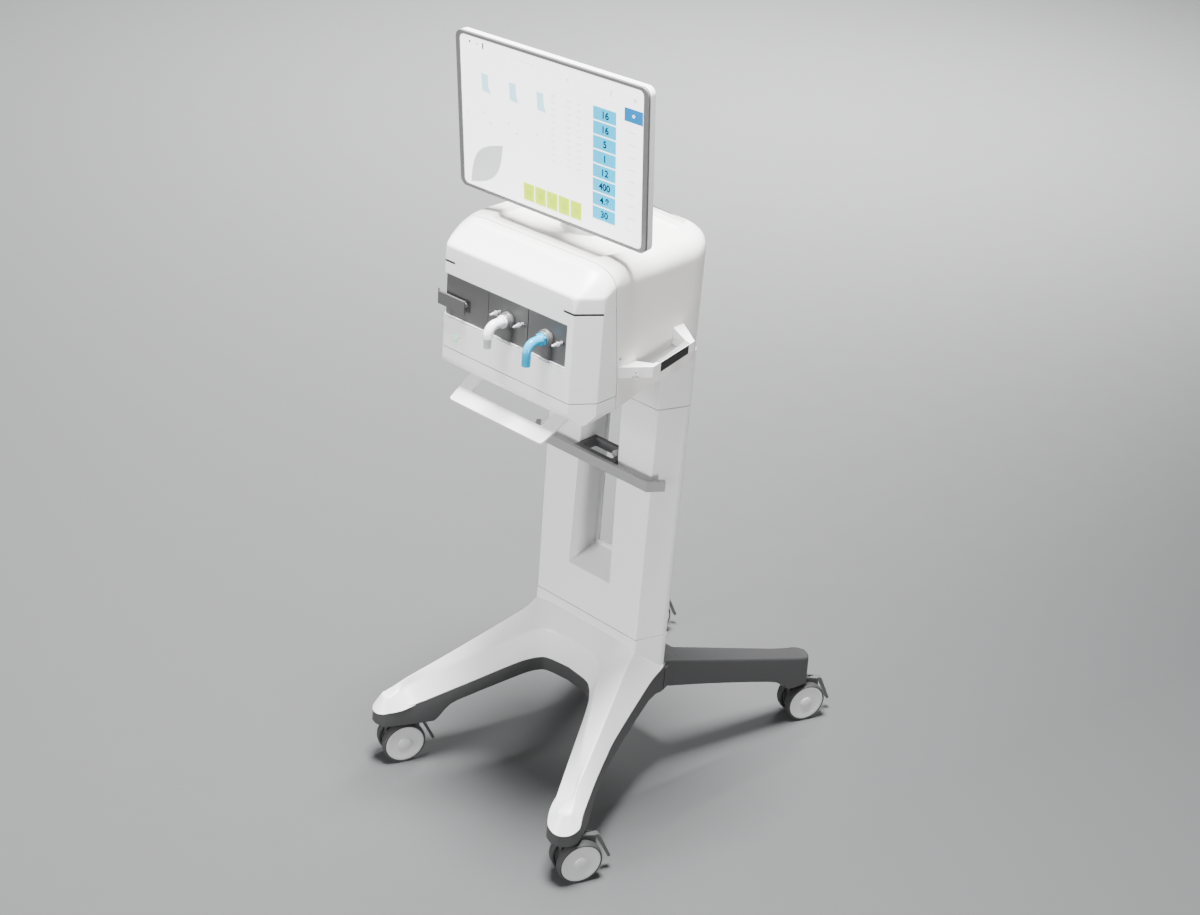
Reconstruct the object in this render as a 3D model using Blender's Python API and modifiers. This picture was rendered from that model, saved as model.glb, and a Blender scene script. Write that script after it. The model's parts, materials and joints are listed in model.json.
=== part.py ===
"""Mechanical ventilator on a four-caster trolley, as separate named sub-parts.

Units are metres and +Z is up. The front of the machine faces -Y and +X is to the right of
someone who faces it. Every sub-part hangs under the empty "trolley_origin", whose place puts the
centre of the object's footprint at the world origin, on the floor. In the numbers below X = 0 is
the plane of symmetry of the column, the main unit and the display.
"""
import bpy
import bmesh
from math import cos, sin, pi, radians, tan
from mathutils import Matrix, Vector

# ---------------------------------------------------------------- driving dimensions
FRAME_SHIFT = Vector((-0.0102, -0.0801, 0.0))   # footprint centre to world origin
GAP = 0.0003            # clearance between pieces that touch
WALL = 0.003            # moulded shell thickness

# casters
WHEEL_RADIUS = 0.045
WHEEL_INNER_FACE = 0.0088     # half the space between the twin wheels
WHEEL_OUTER_FACE = 0.0282
CASTER_TRAIL = 0.028          # axle behind the swivel axis
CASTER_YAW = radians(-24.0)
CASTER_TOP = 0.0985           # top face of the caster, under the leg
STEM_RADIUS = 0.006
STEM_TOP = 0.116
AXLE_RADIUS = 0.004
PEDAL_PIVOT = (0.0500, 0.0850)  # behind the swivel axis, and height
FRONT_CASTER = Vector((0.2465, -0.3200, 0.0))
REAR_CASTER = Vector((0.2203, 0.4200, 0.0))

# trolley base and column
COLUMN_FRONT = -0.0228
COLUMN_SHOULDER = 0.0323      # where the angled sides reach full width
COLUMN_BACK = 0.0550
COLUMN_FACE_HALF = 0.1336
COLUMN_HALF = 0.1564
COLUMN_FOOT = 0.3455          # seam between base cover and column
COLUMN_SEAM = 0.8455          # seam between column and neck
SLOT_HALF = 0.0490
SLOT_FLOOR_FRONT = 0.4380
SLOT_FLOOR_BACK = 0.4620
SLOT_TOP = 0.8400

# main unit
UNIT_HALF = 0.1840
UNIT_FACE_HALF = 0.1545
UNIT_FRONT = -0.2908
UNIT_SHOULDER = -0.2506       # where the angled front corners reach full width
UNIT_REAR = 0.0570
UNIT_TOP = 1.1840
UNIT_SEAM_Y = -0.2250         # front cover to rear shell
UNIT_SEAM_Z = 0.9480          # front cover to lower front cover
PANEL_LEFT = -0.1900
PANEL_RIGHT = 0.1412
PANEL_BOTTOM = 1.0060
PANEL_TOP = 1.0872
MODULE_FACE = -0.2872
MODULE_BACK = -0.1500
MODULE_BOTTOM = 1.0086
MODULE_SPLITS = (-0.0474, 0.0482)
PORT_HEIGHT = 1.0490
PORTS = (0.0015, 0.0940)      # X of the expiratory and inspiratory ports
NIPPLES = ((-0.0190, 1.0573), (0.0371, 1.0540), (0.1284, 1.0515))
ALARM_HEIGHT = 1.1100
BUTTON_PLACE = Vector((-0.1235, -0.2908, 0.9725))

# display
DISPLAY_WIDTH = 0.4358
DISPLAY_HEIGHT = 0.2801
DISPLAY_LEAN = radians(5.56)  # top towards the front
DISPLAY_OFFSET = -0.0480       # front of the display from the tilt axis, square to the display
DISPLAY_RISE = 0.0070         # middle of the display above the tilt axis, along the display
TILT_AXIS = Vector((0.0, -0.1647, 1.3498))
SWIVEL_AXIS = Vector((0.0, -0.1000, 0.0))
RECESS_FLOOR = 1.1760

# ---------------------------------------------------------------- scene and materials
for item in list(bpy.data.objects):
    bpy.data.objects.remove(item, do_unlink=True)

MODEL = bpy.data.collections.new("mechanical_ventilator")
CUTTERS = bpy.data.collections.new("cutters")
for collection in (MODEL, CUTTERS):
    bpy.context.scene.collection.children.link(collection)


def make_material(name, colour, roughness, metallic=0.0):
    material = bpy.data.materials.new(name)
    material.use_nodes = True
    shader = material.node_tree.nodes["Principled BSDF"]
    shader.inputs["Base Color"].default_value = (*colour, 1.0)
    shader.inputs["Roughness"].default_value = roughness
    shader.inputs["Metallic"].default_value = metallic
    return material


WHITE = make_material("white_shell", (0.86, 0.86, 0.85), 0.35)
FRAME_GREY = make_material("frame_grey", (0.09, 0.09, 0.095), 0.45)
PANEL_GREY = make_material("panel_grey", (0.16, 0.165, 0.17), 0.45)
RAIL_GREY = make_material("rail_grey", (0.38, 0.38, 0.39), 0.4, 0.6)
SILVER = make_material("silver_trim", (0.62, 0.63, 0.64), 0.35, 0.7)
STEEL = make_material("steel", (0.7, 0.7, 0.7), 0.3, 1.0)
BLACK = make_material("black_plastic", (0.02, 0.02, 0.02), 0.5)
TYRE = make_material("wheel", (0.05, 0.05, 0.05), 0.7)
LIGHT_GREY = make_material("light_grey", (0.66, 0.66, 0.67), 0.45)
BLUE = make_material("blue_plastic", (0.02, 0.45, 0.75), 0.15)
GLASS = make_material("display_glass", (0.85, 0.88, 0.9), 0.1)
GREEN = make_material("green_light", (0.1, 0.75, 0.45), 0.3)
BOARD = make_material("circuit_board", (0.03, 0.22, 0.1), 0.5)

ROOT = bpy.data.objects.new("trolley_origin", None)
ROOT.location = FRAME_SHIFT
MODEL.objects.link(ROOT)


# ---------------------------------------------------------------- modelling helpers
def add_object(name, mesh, material, parent=None, location=(0, 0, 0), rotation=(0, 0, 0)):
    """Put a mesh in the model as one named sub-part under the origin empty."""
    obj = bpy.data.objects.new(name, mesh)
    if not mesh.materials:
        mesh.materials.append(material)
    obj.location = location
    obj.rotation_euler = rotation
    obj.parent = parent or ROOT
    MODEL.objects.link(obj)
    return obj


def add_empty(name, location, rotation=(0, 0, 0), parent=None):
    empty = bpy.data.objects.new(name, None)
    empty.location = location
    empty.rotation_euler = rotation
    empty.parent = parent or ROOT
    MODEL.objects.link(empty)
    return empty


def finish_mesh(bm, name, smooth_angle=None):
    """Weld, point the faces out and turn a bmesh into a mesh."""
    bmesh.ops.remove_doubles(bm, verts=bm.verts, dist=1e-6)
    bmesh.ops.recalc_face_normals(bm, faces=bm.faces)
    mesh = bpy.data.meshes.new(name)
    bm.to_mesh(mesh)
    bm.free()
    if smooth_angle:
        mesh.shade_smooth()
        mesh.set_sharp_from_angle(angle=radians(smooth_angle))
    return mesh


def box_mesh(name, low, high):
    bm = bmesh.new()
    bmesh.ops.create_cube(bm, size=1.0)
    low, high = Vector(low), Vector(high)
    size, middle = high - low, (high + low) / 2
    for vert in bm.verts:
        vert.co = Vector((vert.co.x * size.x, vert.co.y * size.y, vert.co.z * size.z)) + middle
    return finish_mesh(bm, name)


def box(name, low, high, material, **kwargs):
    return add_object(name, box_mesh(name, low, high), material, **kwargs)


def cylinder_mesh(name, start, end, radius, radius_end=None, segments=24):
    """A closed cylinder or cone between two points."""
    start, end = Vector(start), Vector(end)
    bm = bmesh.new()
    bmesh.ops.create_cone(bm, cap_ends=True, segments=segments, radius1=radius,
                          radius2=radius if radius_end is None else radius_end,
                          depth=(end - start).length)
    turn = (end - start).to_track_quat("Z", "Y").to_matrix().to_4x4()
    bmesh.ops.transform(bm, matrix=Matrix.Translation((start + end) / 2) @ turn, verts=bm.verts)
    return finish_mesh(bm, name, 40)


def rounded(corners, steps=4):
    """Outline from (u, v, fillet radius) corners, with an arc of `steps` pieces at each fillet."""
    outline = []
    for i, (u, v, radius) in enumerate(corners):
        corner = Vector((u, v))
        if radius <= 0:
            outline.append(corner)
            continue
        before = (Vector(corners[i - 1][:2]) - corner).normalized()
        after = (Vector(corners[(i + 1) % len(corners)][:2]) - corner).normalized()
        half = before.angle(after) / 2
        centre = corner + (before + after).normalized() * (radius / sin(half))
        first = corner + before * (radius / tan(half)) - centre
        last = corner + after * (radius / tan(half)) - centre
        sweep = first.angle_signed(last)
        for k in range(steps + 1):
            angle = -sweep * k / steps
            outline.append(centre + Vector((first.x * cos(angle) - first.y * sin(angle),
                                            first.x * sin(angle) + first.y * cos(angle))))
    return outline


def mirrored(corners):
    """Corners of the +u half, from one end of the u = 0 line to the other, and their mirror."""
    return corners + [(-corner[0], *corner[1:]) for corner in reversed(corners)]


def prism_mesh(name, loops, axis, start, end):
    """Flat outlines (the first is outside, others are holes) given a thickness along an axis.

    An outline is in (Y, Z) for a prism along X, in (X, Z) along Y and in (X, Y) along Z.
    """
    curve = bpy.data.curves.new(name, "CURVE")
    curve.dimensions = "2D"
    curve.fill_mode = "BOTH"
    curve.extrude = (end - start) / 2
    for loop in loops:
        spline = curve.splines.new("POLY")
        spline.points.add(len(loop) - 1)
        spline.use_cyclic_u = True
        for point, corner in zip(spline.points, loop):
            point.co = (corner[0], corner[1], 0.0, 1.0)
    flat = bpy.data.objects.new(name, curve)
    bpy.context.scene.collection.objects.link(flat)
    view = bpy.context.evaluated_depsgraph_get()
    mesh = bpy.data.meshes.new_from_object(flat.evaluated_get(view))
    bpy.data.objects.remove(flat, do_unlink=True)
    middle = (start + end) / 2
    order = {"X": (2, 0, 1), "Y": (0, 2, 1), "Z": (0, 1, 2)}[axis]
    bm = bmesh.new()
    bm.from_mesh(mesh)
    bpy.data.meshes.remove(mesh)
    for vert in bm.verts:
        local = (vert.co.x, vert.co.y, vert.co.z + middle)
        vert.co = Vector(local[i] for i in order)
    bmesh.ops.remove_doubles(bm, verts=bm.verts, dist=1e-5)
    return finish_mesh(bm, name, 30)


def prism(name, loops, axis, start, end, material, **kwargs):
    return add_object(name, prism_mesh(name, loops, axis, start, end), material, **kwargs)


def loft_mesh(name, rings):
    """Closed skin through rings that have the same number of points."""
    bm = bmesh.new()
    rows = [[bm.verts.new(point) for point in ring] for ring in rings]
    count = len(rings[0])
    for row, next_row in zip(rows, rows[1:]):
        for i in range(count):
            j = (i + 1) % count
            bm.faces.new((row[i], row[j], next_row[j], next_row[i]))
    bm.faces.new(reversed(rows[0]))
    bm.faces.new(rows[-1])
    return finish_mesh(bm, name, 30)


def turned(name, profile, material, steps=24, **kwargs):
    """A solid of revolution about local Z: (radius, height) points from top to bottom."""
    mesh = bpy.data.meshes.new(name)
    edges = [(i, (i + 1) % len(profile)) for i in range(len(profile))]
    if profile[0][0] == 0 and profile[-1][0] == 0:
        edges.pop()
    mesh.from_pydata([(radius, 0.0, height) for radius, height in profile], edges, [])
    obj = add_object(name, mesh, material, **kwargs)
    screw = obj.modifiers.new("turn", "SCREW")
    screw.steps = screw.render_steps = steps
    screw.use_merge_vertices = True
    screw.merge_threshold = 1e-5
    return obj


def boolean(obj, mesh, operation):
    """Cut, join or keep with another closed mesh given in the same local space as obj."""
    tool = bpy.data.objects.new(f"{obj.name}_{operation.lower()}", mesh)
    tool.parent = obj
    tool.hide_render = True
    tool.display_type = "WIRE"
    CUTTERS.objects.link(tool)
    modifier = obj.modifiers.new(operation.lower(), "BOOLEAN")
    modifier.object = tool
    modifier.operation = operation
    modifier.solver = "EXACT"


def cut(obj, *meshes):
    for mesh in meshes:
        boolean(obj, mesh, "DIFFERENCE")


def join(obj, *meshes):
    for mesh in meshes:
        boolean(obj, mesh, "UNION")


def keep(obj, *meshes):
    for mesh in meshes:
        boolean(obj, mesh, "INTERSECT")


# ---------------------------------------------------------------- trolley base
def legward(y):
    """The leg curves are polynomials of the distance behind this section of the legs."""
    return y + 0.15


def inner_low_x(y):
    return 0.1212 - 0.5280 * legward(y)


def outer_low_x(y):
    return 0.2035 - 0.3570 * legward(y) + 0.5800 * legward(y) ** 2


def low_z(y):
    """Lower edge of the white cover; it rises from the casters to the column."""
    return 0.1965 + (0.3640 if y < -0.15 else 0.3840) * legward(y)


def inner_ridge(y):
    u = legward(y)
    return Vector((0.1407 - 0.6380 * u + 0.3600 * u * u, y, 0.2448 + 0.4985 * u - 0.6300 * u * u))


def outer_ridge(y):
    u = legward(y)
    return Vector((0.1831 - 0.4105 * u - 0.0700 * u * u, y, 0.2484 + 0.5000 * u + 0.1700 * u * u))


def carried_down(low, ridge):
    """The lower point moved on past the edge, where the skirt is trimmed afterwards."""
    return low + (low - ridge) * 0.25


def leg_ring(y):
    """Section of the right front leg's cover: inner foot, inner ridge, outer ridge, outer foot."""
    inner, outer = inner_ridge(y), outer_ridge(y)
    return [carried_down(Vector((inner_low_x(y), y, low_z(y))), inner), inner, outer,
            carried_down(Vector((outer_low_x(y), y, low_z(y))), outer)]


LEG_WAY = Vector((0.460, -0.888, 0.0))       # the front leg's direction at its tip, in plan
LEG_ACROSS = Vector((0.888, 0.460, 0.0))


def tip_ring(angle, foot_radius, low, ridge_radius, high):
    """Section across the leg's rounded tip, at an angle round the swivel axis."""
    reach, spread = sin(radians(angle)), cos(radians(angle))
    foot = FRONT_CASTER + LEG_WAY * (foot_radius * reach)
    ridge = FRONT_CASTER + LEG_WAY * (ridge_radius * reach)
    foot_side, ridge_side = LEG_ACROSS * (foot_radius * spread), LEG_ACROSS * (ridge_radius * spread)
    return [foot - foot_side + Vector((0, 0, low)), ridge - ridge_side + Vector((0, 0, high)),
            ridge + ridge_side + Vector((0, 0, high)), foot + foot_side + Vector((0, 0, low))]


def arch_rings():
    """Sections of the cover from the middle of the arch round to the start of the leg."""
    points = (
        ((0.0000, -0.0610, 0.2314), (0.0000, -0.0520, 0.2877),
         (0.0000, -0.0230, 0.3250), (0.0000, 0.0500, 0.2700)),
        ((0.0520, -0.0660, 0.2290), (0.0560, -0.0550, 0.2864),
         (0.0560, -0.0230, 0.3250), (0.0520, 0.0500, 0.2700)),
        ((0.0715, -0.0760, 0.2250), (0.0780, -0.0630, 0.2835),
         (0.0980, -0.0230, 0.3240), (0.1050, 0.0500, 0.2700)),
        ((0.0840, -0.0885, 0.2200), (0.0890, -0.0710, 0.2800),
         (0.1310, -0.0230, 0.3160), (0.1560, 0.0500, 0.2733)),
        ((0.0943, -0.1020, 0.2149), (0.1020, -0.0890, 0.2730),
         (0.1412, -0.0500, 0.3000), (0.1660, -0.0050, 0.2522)))
    rings = [[Vector(point) for point in ring] for ring in points]
    for ring in rings:
        ring[0], ring[3] = carried_down(ring[0], ring[1]), carried_down(ring[3], ring[2])
    return rings


def column_outline(inset=0.0):
    """Half of the column's plan, front to back: narrow face, angled side, rounded rear corner."""
    return [(COLUMN_FACE_HALF - 0.6 * inset, COLUMN_FRONT + inset, 0.004),
            (COLUMN_HALF - inset, COLUMN_SHOULDER, 0.006),
            (COLUMN_HALF - inset, COLUMN_BACK - inset, 0.018 - 1.2 * inset)]


def mirror_mesh(mesh, name):
    """A copy of a closed mesh mirrored across X = 0."""
    bm = bmesh.new()
    bm.from_mesh(mesh)
    bmesh.ops.scale(bm, vec=(-1, 1, 1), verts=bm.verts)
    bmesh.ops.reverse_faces(bm, faces=bm.faces)
    return finish_mesh(bm, name, 30)


def side_zone(name, line, height, half=0.5):
    """Everything above (height > 0) or below a line of (Y, Z) points, as wide as needed."""
    outline = list(line) + [(line[-1][0], line[-1][1] + height), (line[0][0], line[0][1] + height)]
    return prism_mesh(name, [outline], "X", -half, half)


def cover_edge(offset=0.0, behind=0.1):
    """The line, seen from the side, where the white cover ends and the dark frame begins."""
    return [(y, low_z(y) + offset) for y in (-0.45, -0.15, COLUMN_BACK + behind)]


def make_base_cover():
    """White cover over the two front legs, with the foot that the column stands in."""
    foot = prism("base_cover", [rounded(mirrored(column_outline(-0.0008)))], "Z",
                 0.2450, COLUMN_FOOT - GAP, WHITE)
    legs = [leg_ring(y) for y in (-0.1000, -0.1500, -0.2000, -0.2500, -0.2900)]
    tip = [tip_ring(angle, 0.0340, 0.1150, 0.0085, 0.1570 - angle * 0.00005)
           for angle in (0.0, 30.0, 60.0, 82.0)]
    leg = loft_mesh("leg_cover", arch_rings() + legs + tip)
    join(foot, leg, mirror_mesh(leg, "leg_cover_left"))
    shrink = (0.0050, 0.0025, -0.0025, -0.0050)
    hollow = [[point + Vector((shift, 0.002, -0.0050)) for point, shift in zip(ring, shrink)]
              for ring in arch_rings()[2:] + legs[:4]]
    channel = loft_mesh("leg_hollow", hollow)
    inside = prism_mesh("foot_hollow", [rounded(mirrored(column_outline(0.0050)))], "Z", 0.20, 0.3400)
    cut(foot, channel, mirror_mesh(channel, "leg_hollow_left"), inside,
        side_zone("below_edge", cover_edge(), -0.3))
    return foot


def frame_ring(y, bottom):
    """Section of a dark front leg, carried up past the cover's edge where it is trimmed."""
    top = low_z(y) + 0.006
    return [Vector((inner_low_x(y) - 0.0030, y, bottom)), Vector((inner_low_x(y) + 0.0020, y, top)),
            Vector((outer_low_x(y) - 0.0020, y, top)), Vector((outer_low_x(y) + 0.0040, y, bottom))]


def rear_ring(y, bottom):
    """Section of a rear leg."""
    inner, outer = 0.1010 + 0.3220 * (y - 0.128), 0.1510 + 0.2640 * (y - 0.060)
    top = 0.2700 - 0.2980 * (y - 0.060)
    return [Vector((inner - 0.003, y, bottom)), Vector((inner, y, top)), Vector((outer, y, top)),
            Vector((outer + 0.004, y, bottom))]


def rear_tip_ring(angle, bottom):
    reach, spread = 0.0290 * sin(radians(angle)), cos(radians(angle))
    x, y, top = REAR_CASTER.x, REAR_CASTER.y + reach, 0.1640 - 0.15 * reach
    return [Vector((x - 0.0300 * spread, y, bottom)), Vector((x - 0.0275 * spread, y, top)),
            Vector((x + 0.0275 * spread, y, top)), Vector((x + 0.0310 * spread, y, bottom))]


def make_base_frame():
    """Dark structural frame: four legs, the cross body under the column, and the stem bores."""
    half = [(0.0550, -0.0640, 0.02), (0.0850, -0.0860, 0.02), (0.1700, -0.0400, 0.0),
            (0.1625, 0.0100, 0.0), (0.1590, 0.0600, 0.0), (0.1400, 0.1000, 0.0), (0.1000, 0.1330, 0.03)]
    boss = CASTER_TOP + GAP
    front = [frame_ring(y, bottom) for y, bottom in
             ((0.0550, 0.2120), (-0.0500, 0.1990), (-0.1500, 0.1665), (-0.2250, 0.1360), (-0.2550, boss))]
    front += [tip_ring(angle, 0.0325, boss, 0.0300, low_z(-0.31) + 0.004)
              for angle in (0.0, 35.0, 65.0, 84.0)]
    rear = [rear_ring(y, bottom) for y, bottom in
            ((0.0600, 0.2100), (0.1500, 0.1870), (0.3000, 0.1440), (0.3550, 0.1250), (0.3800, boss))]
    rear += [rear_tip_ring(angle, boss) for angle in (0.0, 35.0, 65.0, 84.0)]
    frame = prism("base_frame", [rounded(mirrored(half))], "Z", 0.2020, 0.2600, FRAME_GREY)
    for name, rings in (("front_leg", front), ("rear_leg", rear)):
        leg = loft_mesh(name, rings)
        join(frame, leg, mirror_mesh(leg, f"{name}_left"))
    above = cover_edge(-GAP, 0.0) + [(COLUMN_BACK + GAP, 0.5), (-0.45, 0.5)]
    cut(frame, prism_mesh("under_cover", [above], "X", -0.4, 0.4))
    cut(frame, box_mesh("pocket", (-0.1250, -0.0350, 0.1500), (0.1250, 0.1050, 0.2340)))
    for place in caster_places():
        cut(frame, cylinder_mesh("stem_bore", place + Vector((0, 0, 0.0900)),
                                 place + Vector((0, 0, STEM_TOP + GAP)), STEM_RADIUS + 0.0005,
                                 segments=12))


def caster_places():
    return [Vector((side * corner.x, corner.y, 0.0))
            for corner in (FRONT_CASTER, REAR_CASTER) for side in (-1, 1)]


# ---------------------------------------------------------------- casters
def wheel_profile():
    """Half section of one wheel about its axle: tyre, hub disc, raised cap and blind bore."""
    inner, outer = WHEEL_INNER_FACE, WHEEL_OUTER_FACE
    bore = AXLE_RADIUS + 0.0004
    return [(0.0, outer), (0.0125, outer - 0.0004), (0.0145, outer - 0.0020),
            (0.0385, outer - 0.0022), (0.0400, outer - 0.0008), (0.0430, outer - 0.0022),
            (WHEEL_RADIUS, outer - 0.0060), (WHEEL_RADIUS, inner + 0.0040),
            (0.0430, inner), (bore, inner), (bore, outer - 0.0060), (0.0, outer - 0.0060)]


def make_caster(name, place):
    """One braked twin-wheel caster: housing with stem and axle, two wheels and a pedal."""
    swivel = add_empty(f"{name}_swivel", place, (0, 0, CASTER_YAW))
    axle = (0.0, CASTER_TRAIL, WHEEL_RADIUS)
    half = WHEEL_INNER_FACE - 0.0010
    fairing = rounded([(-0.0060, 0.0300, 0.010), (-0.0060, 0.0950, 0.0), (0.0400, 0.0950, 0.008),
                       (0.0620, 0.0890, 0.006), (0.0660, 0.0500, 0.012), (0.0400, 0.0140, 0.016)], 3)
    housing = prism(f"{name}_housing", [fairing], "X", -half, half, FRAME_GREY, parent=swivel)
    join(housing,
         cylinder_mesh("collar", (0, 0, 0.0920), (0, 0, CASTER_TOP), 0.0200, segments=20),
         cylinder_mesh("stem", (0, 0, CASTER_TOP - 0.002), (0, 0, STEM_TOP), STEM_RADIUS, segments=12),
         cylinder_mesh("axle", (-0.0200, axle[1], axle[2]), (0.0200, axle[1], axle[2]), AXLE_RADIUS,
                       segments=12))
    pivot_y, pivot_z = PEDAL_PIVOT
    cut(housing, box_mesh("pedal_slot", (-0.0060, 0.0420, 0.0720), (0.0060, 0.0800, 0.1000)),
        cylinder_mesh("pin_bore", (-0.0070, pivot_y, pivot_z), (0.0070, pivot_y, pivot_z), 0.0024,
                      segments=10))
    for side, turn in (("outer", pi / 2), ("inner", -pi / 2)):
        turned(f"{name}_{side}_wheel", wheel_profile(), TYRE, steps=24, parent=swivel,
               location=axle, rotation=(0, turn, 0))
    outline = rounded([(-0.0050, -0.0035, 0.003), (-0.0040, 0.0045, 0.003), (0.0210, 0.0045, 0.007),
                       (0.0490, -0.0550, 0.001), (0.0440, -0.0580, 0.001), (0.0170, -0.0030, 0.006),
                       (0.0060, -0.0045, 0.003)], 3)
    pedal = prism(f"{name}_brake_pedal", [outline], "X", -0.0056, 0.0056, LIGHT_GREY, parent=swivel,
                  location=(0, pivot_y, pivot_z))
    join(pedal, cylinder_mesh("pedal_pin", (-0.0066, 0, 0), (0.0066, 0, 0), 0.0020, segments=10))


# ---------------------------------------------------------------- column and rail
def make_column():
    """Hollow upright with the tall window through it, and the neck that carries the unit."""
    column = prism("column_shell", [rounded(mirrored(column_outline()))], "Z",
                   COLUMN_FOOT, COLUMN_SEAM - GAP, WHITE)
    window = [(COLUMN_FRONT - 0.02, SLOT_FLOOR_FRONT - 0.0054),
              (COLUMN_BACK + 0.02, SLOT_FLOOR_BACK + 0.0054),
              (COLUMN_BACK + 0.02, SLOT_TOP), (COLUMN_FRONT - 0.02, SLOT_TOP)]
    side = rounded([(SLOT_HALF + 0.006, COLUMN_FRONT + 0.006, 0.003),
                    (COLUMN_FACE_HALF - 0.006, COLUMN_FRONT + 0.006, 0.006),
                    (COLUMN_HALF - 0.006, COLUMN_SHOULDER - 0.001, 0.006),
                    (COLUMN_HALF - 0.006, COLUMN_BACK - 0.006, 0.014),
                    (SLOT_HALF + 0.006, COLUMN_BACK - 0.006, 0.003)], steps=3)
    hollow = prism_mesh("column_hollow", [side], "Z", COLUMN_FOOT - 0.01, COLUMN_SEAM + 0.01)
    cut(column, prism_mesh("window", [window], "X", -SLOT_HALF, SLOT_HALF),
        hollow, mirror_mesh(hollow, "column_hollow_left"))
    neck = prism("column_neck", [rounded(mirrored(column_outline()))], "Z", COLUMN_SEAM, 1.0000, WHITE)
    hollow = prism_mesh("neck_hollow", [rounded(mirrored(column_outline(0.006)))], "Z",
                        COLUMN_SEAM - 0.01, 0.9300)
    cut(neck, side_zone("under_unit", [(y, underside_z(y) - GAP) for y in (-0.06, 0.10)], 0.3), hollow)


def rail_outline(offset):
    """Plan of the rail at a distance behind its front face, front middle to angled end."""
    corner, end = Vector((0.1462, -0.0500)), Vector((0.1672, -0.0205))
    run = (end - corner).normalized()
    back = Vector((-run.y, run.x)) * offset
    return [Vector((corner.x - offset * 0.53, corner.y + offset)), end + back]


def make_rail():
    """Accessory rail with ends bent back, its bracket in the window and the lock knob."""
    front, back = rail_outline(0.0), rail_outline(0.0095)
    half = [*front, back[1], back[0]]
    outline = half + [Vector((-x, y)) for x, y in reversed(half)]
    prism("accessory_rail", [outline], "Z", 0.6905, 0.7115, RAIL_GREY)
    rail_back, ledge = -0.0500 + 0.0095 + GAP, 0.7015
    reach = SLOT_HALF - GAP
    outside = [(-reach, rail_back), (reach, rail_back), (reach, 0.0220), (-reach, 0.0220)]
    hole = rounded([(-0.0380, -0.0280, 0.004), (-0.0380, 0.0120, 0.004), (0.0380, 0.0120, 0.004),
                    (0.0380, -0.0280, 0.004)])
    bracket = prism("rail_bracket", [outside, hole], "Z", 0.6925, 0.7105, FRAME_GREY)
    cut(bracket, cylinder_mesh("knob_bore", (0.0200, 0.0050, ledge), (0.0200, 0.0300, ledge), 0.0033,
                               segments=12))
    turned("rail_lock_knob", [(0.0, 0.0), (0.0060, 0.0), (0.0072, -0.0015), (0.0072, -0.0110),
                              (0.0028, -0.0114), (0.0028, -0.0260), (0.0, -0.0260)],
           LIGHT_GREY, steps=16, location=(0.0200, 0.0005, ledge), rotation=(pi / 2, 0, 0))


# ---------------------------------------------------------------- main unit shells
def underside_z(y):
    """Flat underside of the unit, rising to the rear."""
    return 0.9400 + (0.2600 if y < -0.13 else 0.0950) * (y + 0.13)


def unit_plan(inset=0.0):
    return mirrored([(UNIT_FACE_HALF - 0.5 * inset, UNIT_FRONT + inset, 0.005),
                     (UNIT_HALF - inset, UNIT_SHOULDER + 0.34 * inset, 0.006),
                     (UNIT_HALF - inset, UNIT_REAR - inset, 0.082 - inset)])


def unit_side(inset=0.0, top=UNIT_TOP):
    """Side view (Y, Z): upright face, sloping brow, flat top, raised rear underside, chin."""
    lift = 1.03 * inset
    return [(UNIT_FRONT + inset, 0.9230 + 0.4 * inset, 0.014), (UNIT_FRONT + inset, 1.1390, 0.016),
            (-0.2480 + 0.5 * inset, 1.1760 - inset, 0.014), (-0.2000, top - inset, 0.0),
            (UNIT_REAR - inset, top - inset, 0.045 - inset),
            (UNIT_REAR - inset, underside_z(UNIT_REAR) + lift, 0.012),
            (-0.1300, underside_z(-0.13) + lift, 0.030),
            (-0.2680 + 0.5 * inset, underside_z(-0.268) + lift, 0.020)]


def unit_solid(name, inset, top=UNIT_TOP):
    """The unit's outer form, or its cavity: plan, side and front outlines that intersect."""
    front_view = mirrored([(UNIT_HALF - inset, 0.8000, 0.0), (UNIT_HALF - inset, top - inset, 0.036 - inset)])
    belly = mirrored([(0.1560 - inset, 0.8850 + inset, 0.0), (UNIT_HALF - inset, 0.9250 + inset, 0.012),
                      (UNIT_HALF - inset, 1.3000, 0.0)])
    solid = add_object(name, prism_mesh(name, [rounded(unit_plan(inset), 5)], "Z", 0.85, 1.25), WHITE)
    keep(solid, prism_mesh(name, [rounded(unit_side(inset, top))], "X", -0.25, 0.25),
         prism_mesh(name, [rounded(front_view, 5)], "Y", -0.35, 0.10),
         prism_mesh(name, [rounded(belly)], "Y", -0.36, 0.11))
    view = bpy.context.evaluated_depsgraph_get()
    mesh = bpy.data.meshes.new_from_object(solid.evaluated_get(view))
    for tool in [modifier.object for modifier in solid.modifiers]:
        bpy.data.objects.remove(tool, do_unlink=True)
    bpy.data.objects.remove(solid, do_unlink=True)
    return mesh


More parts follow.
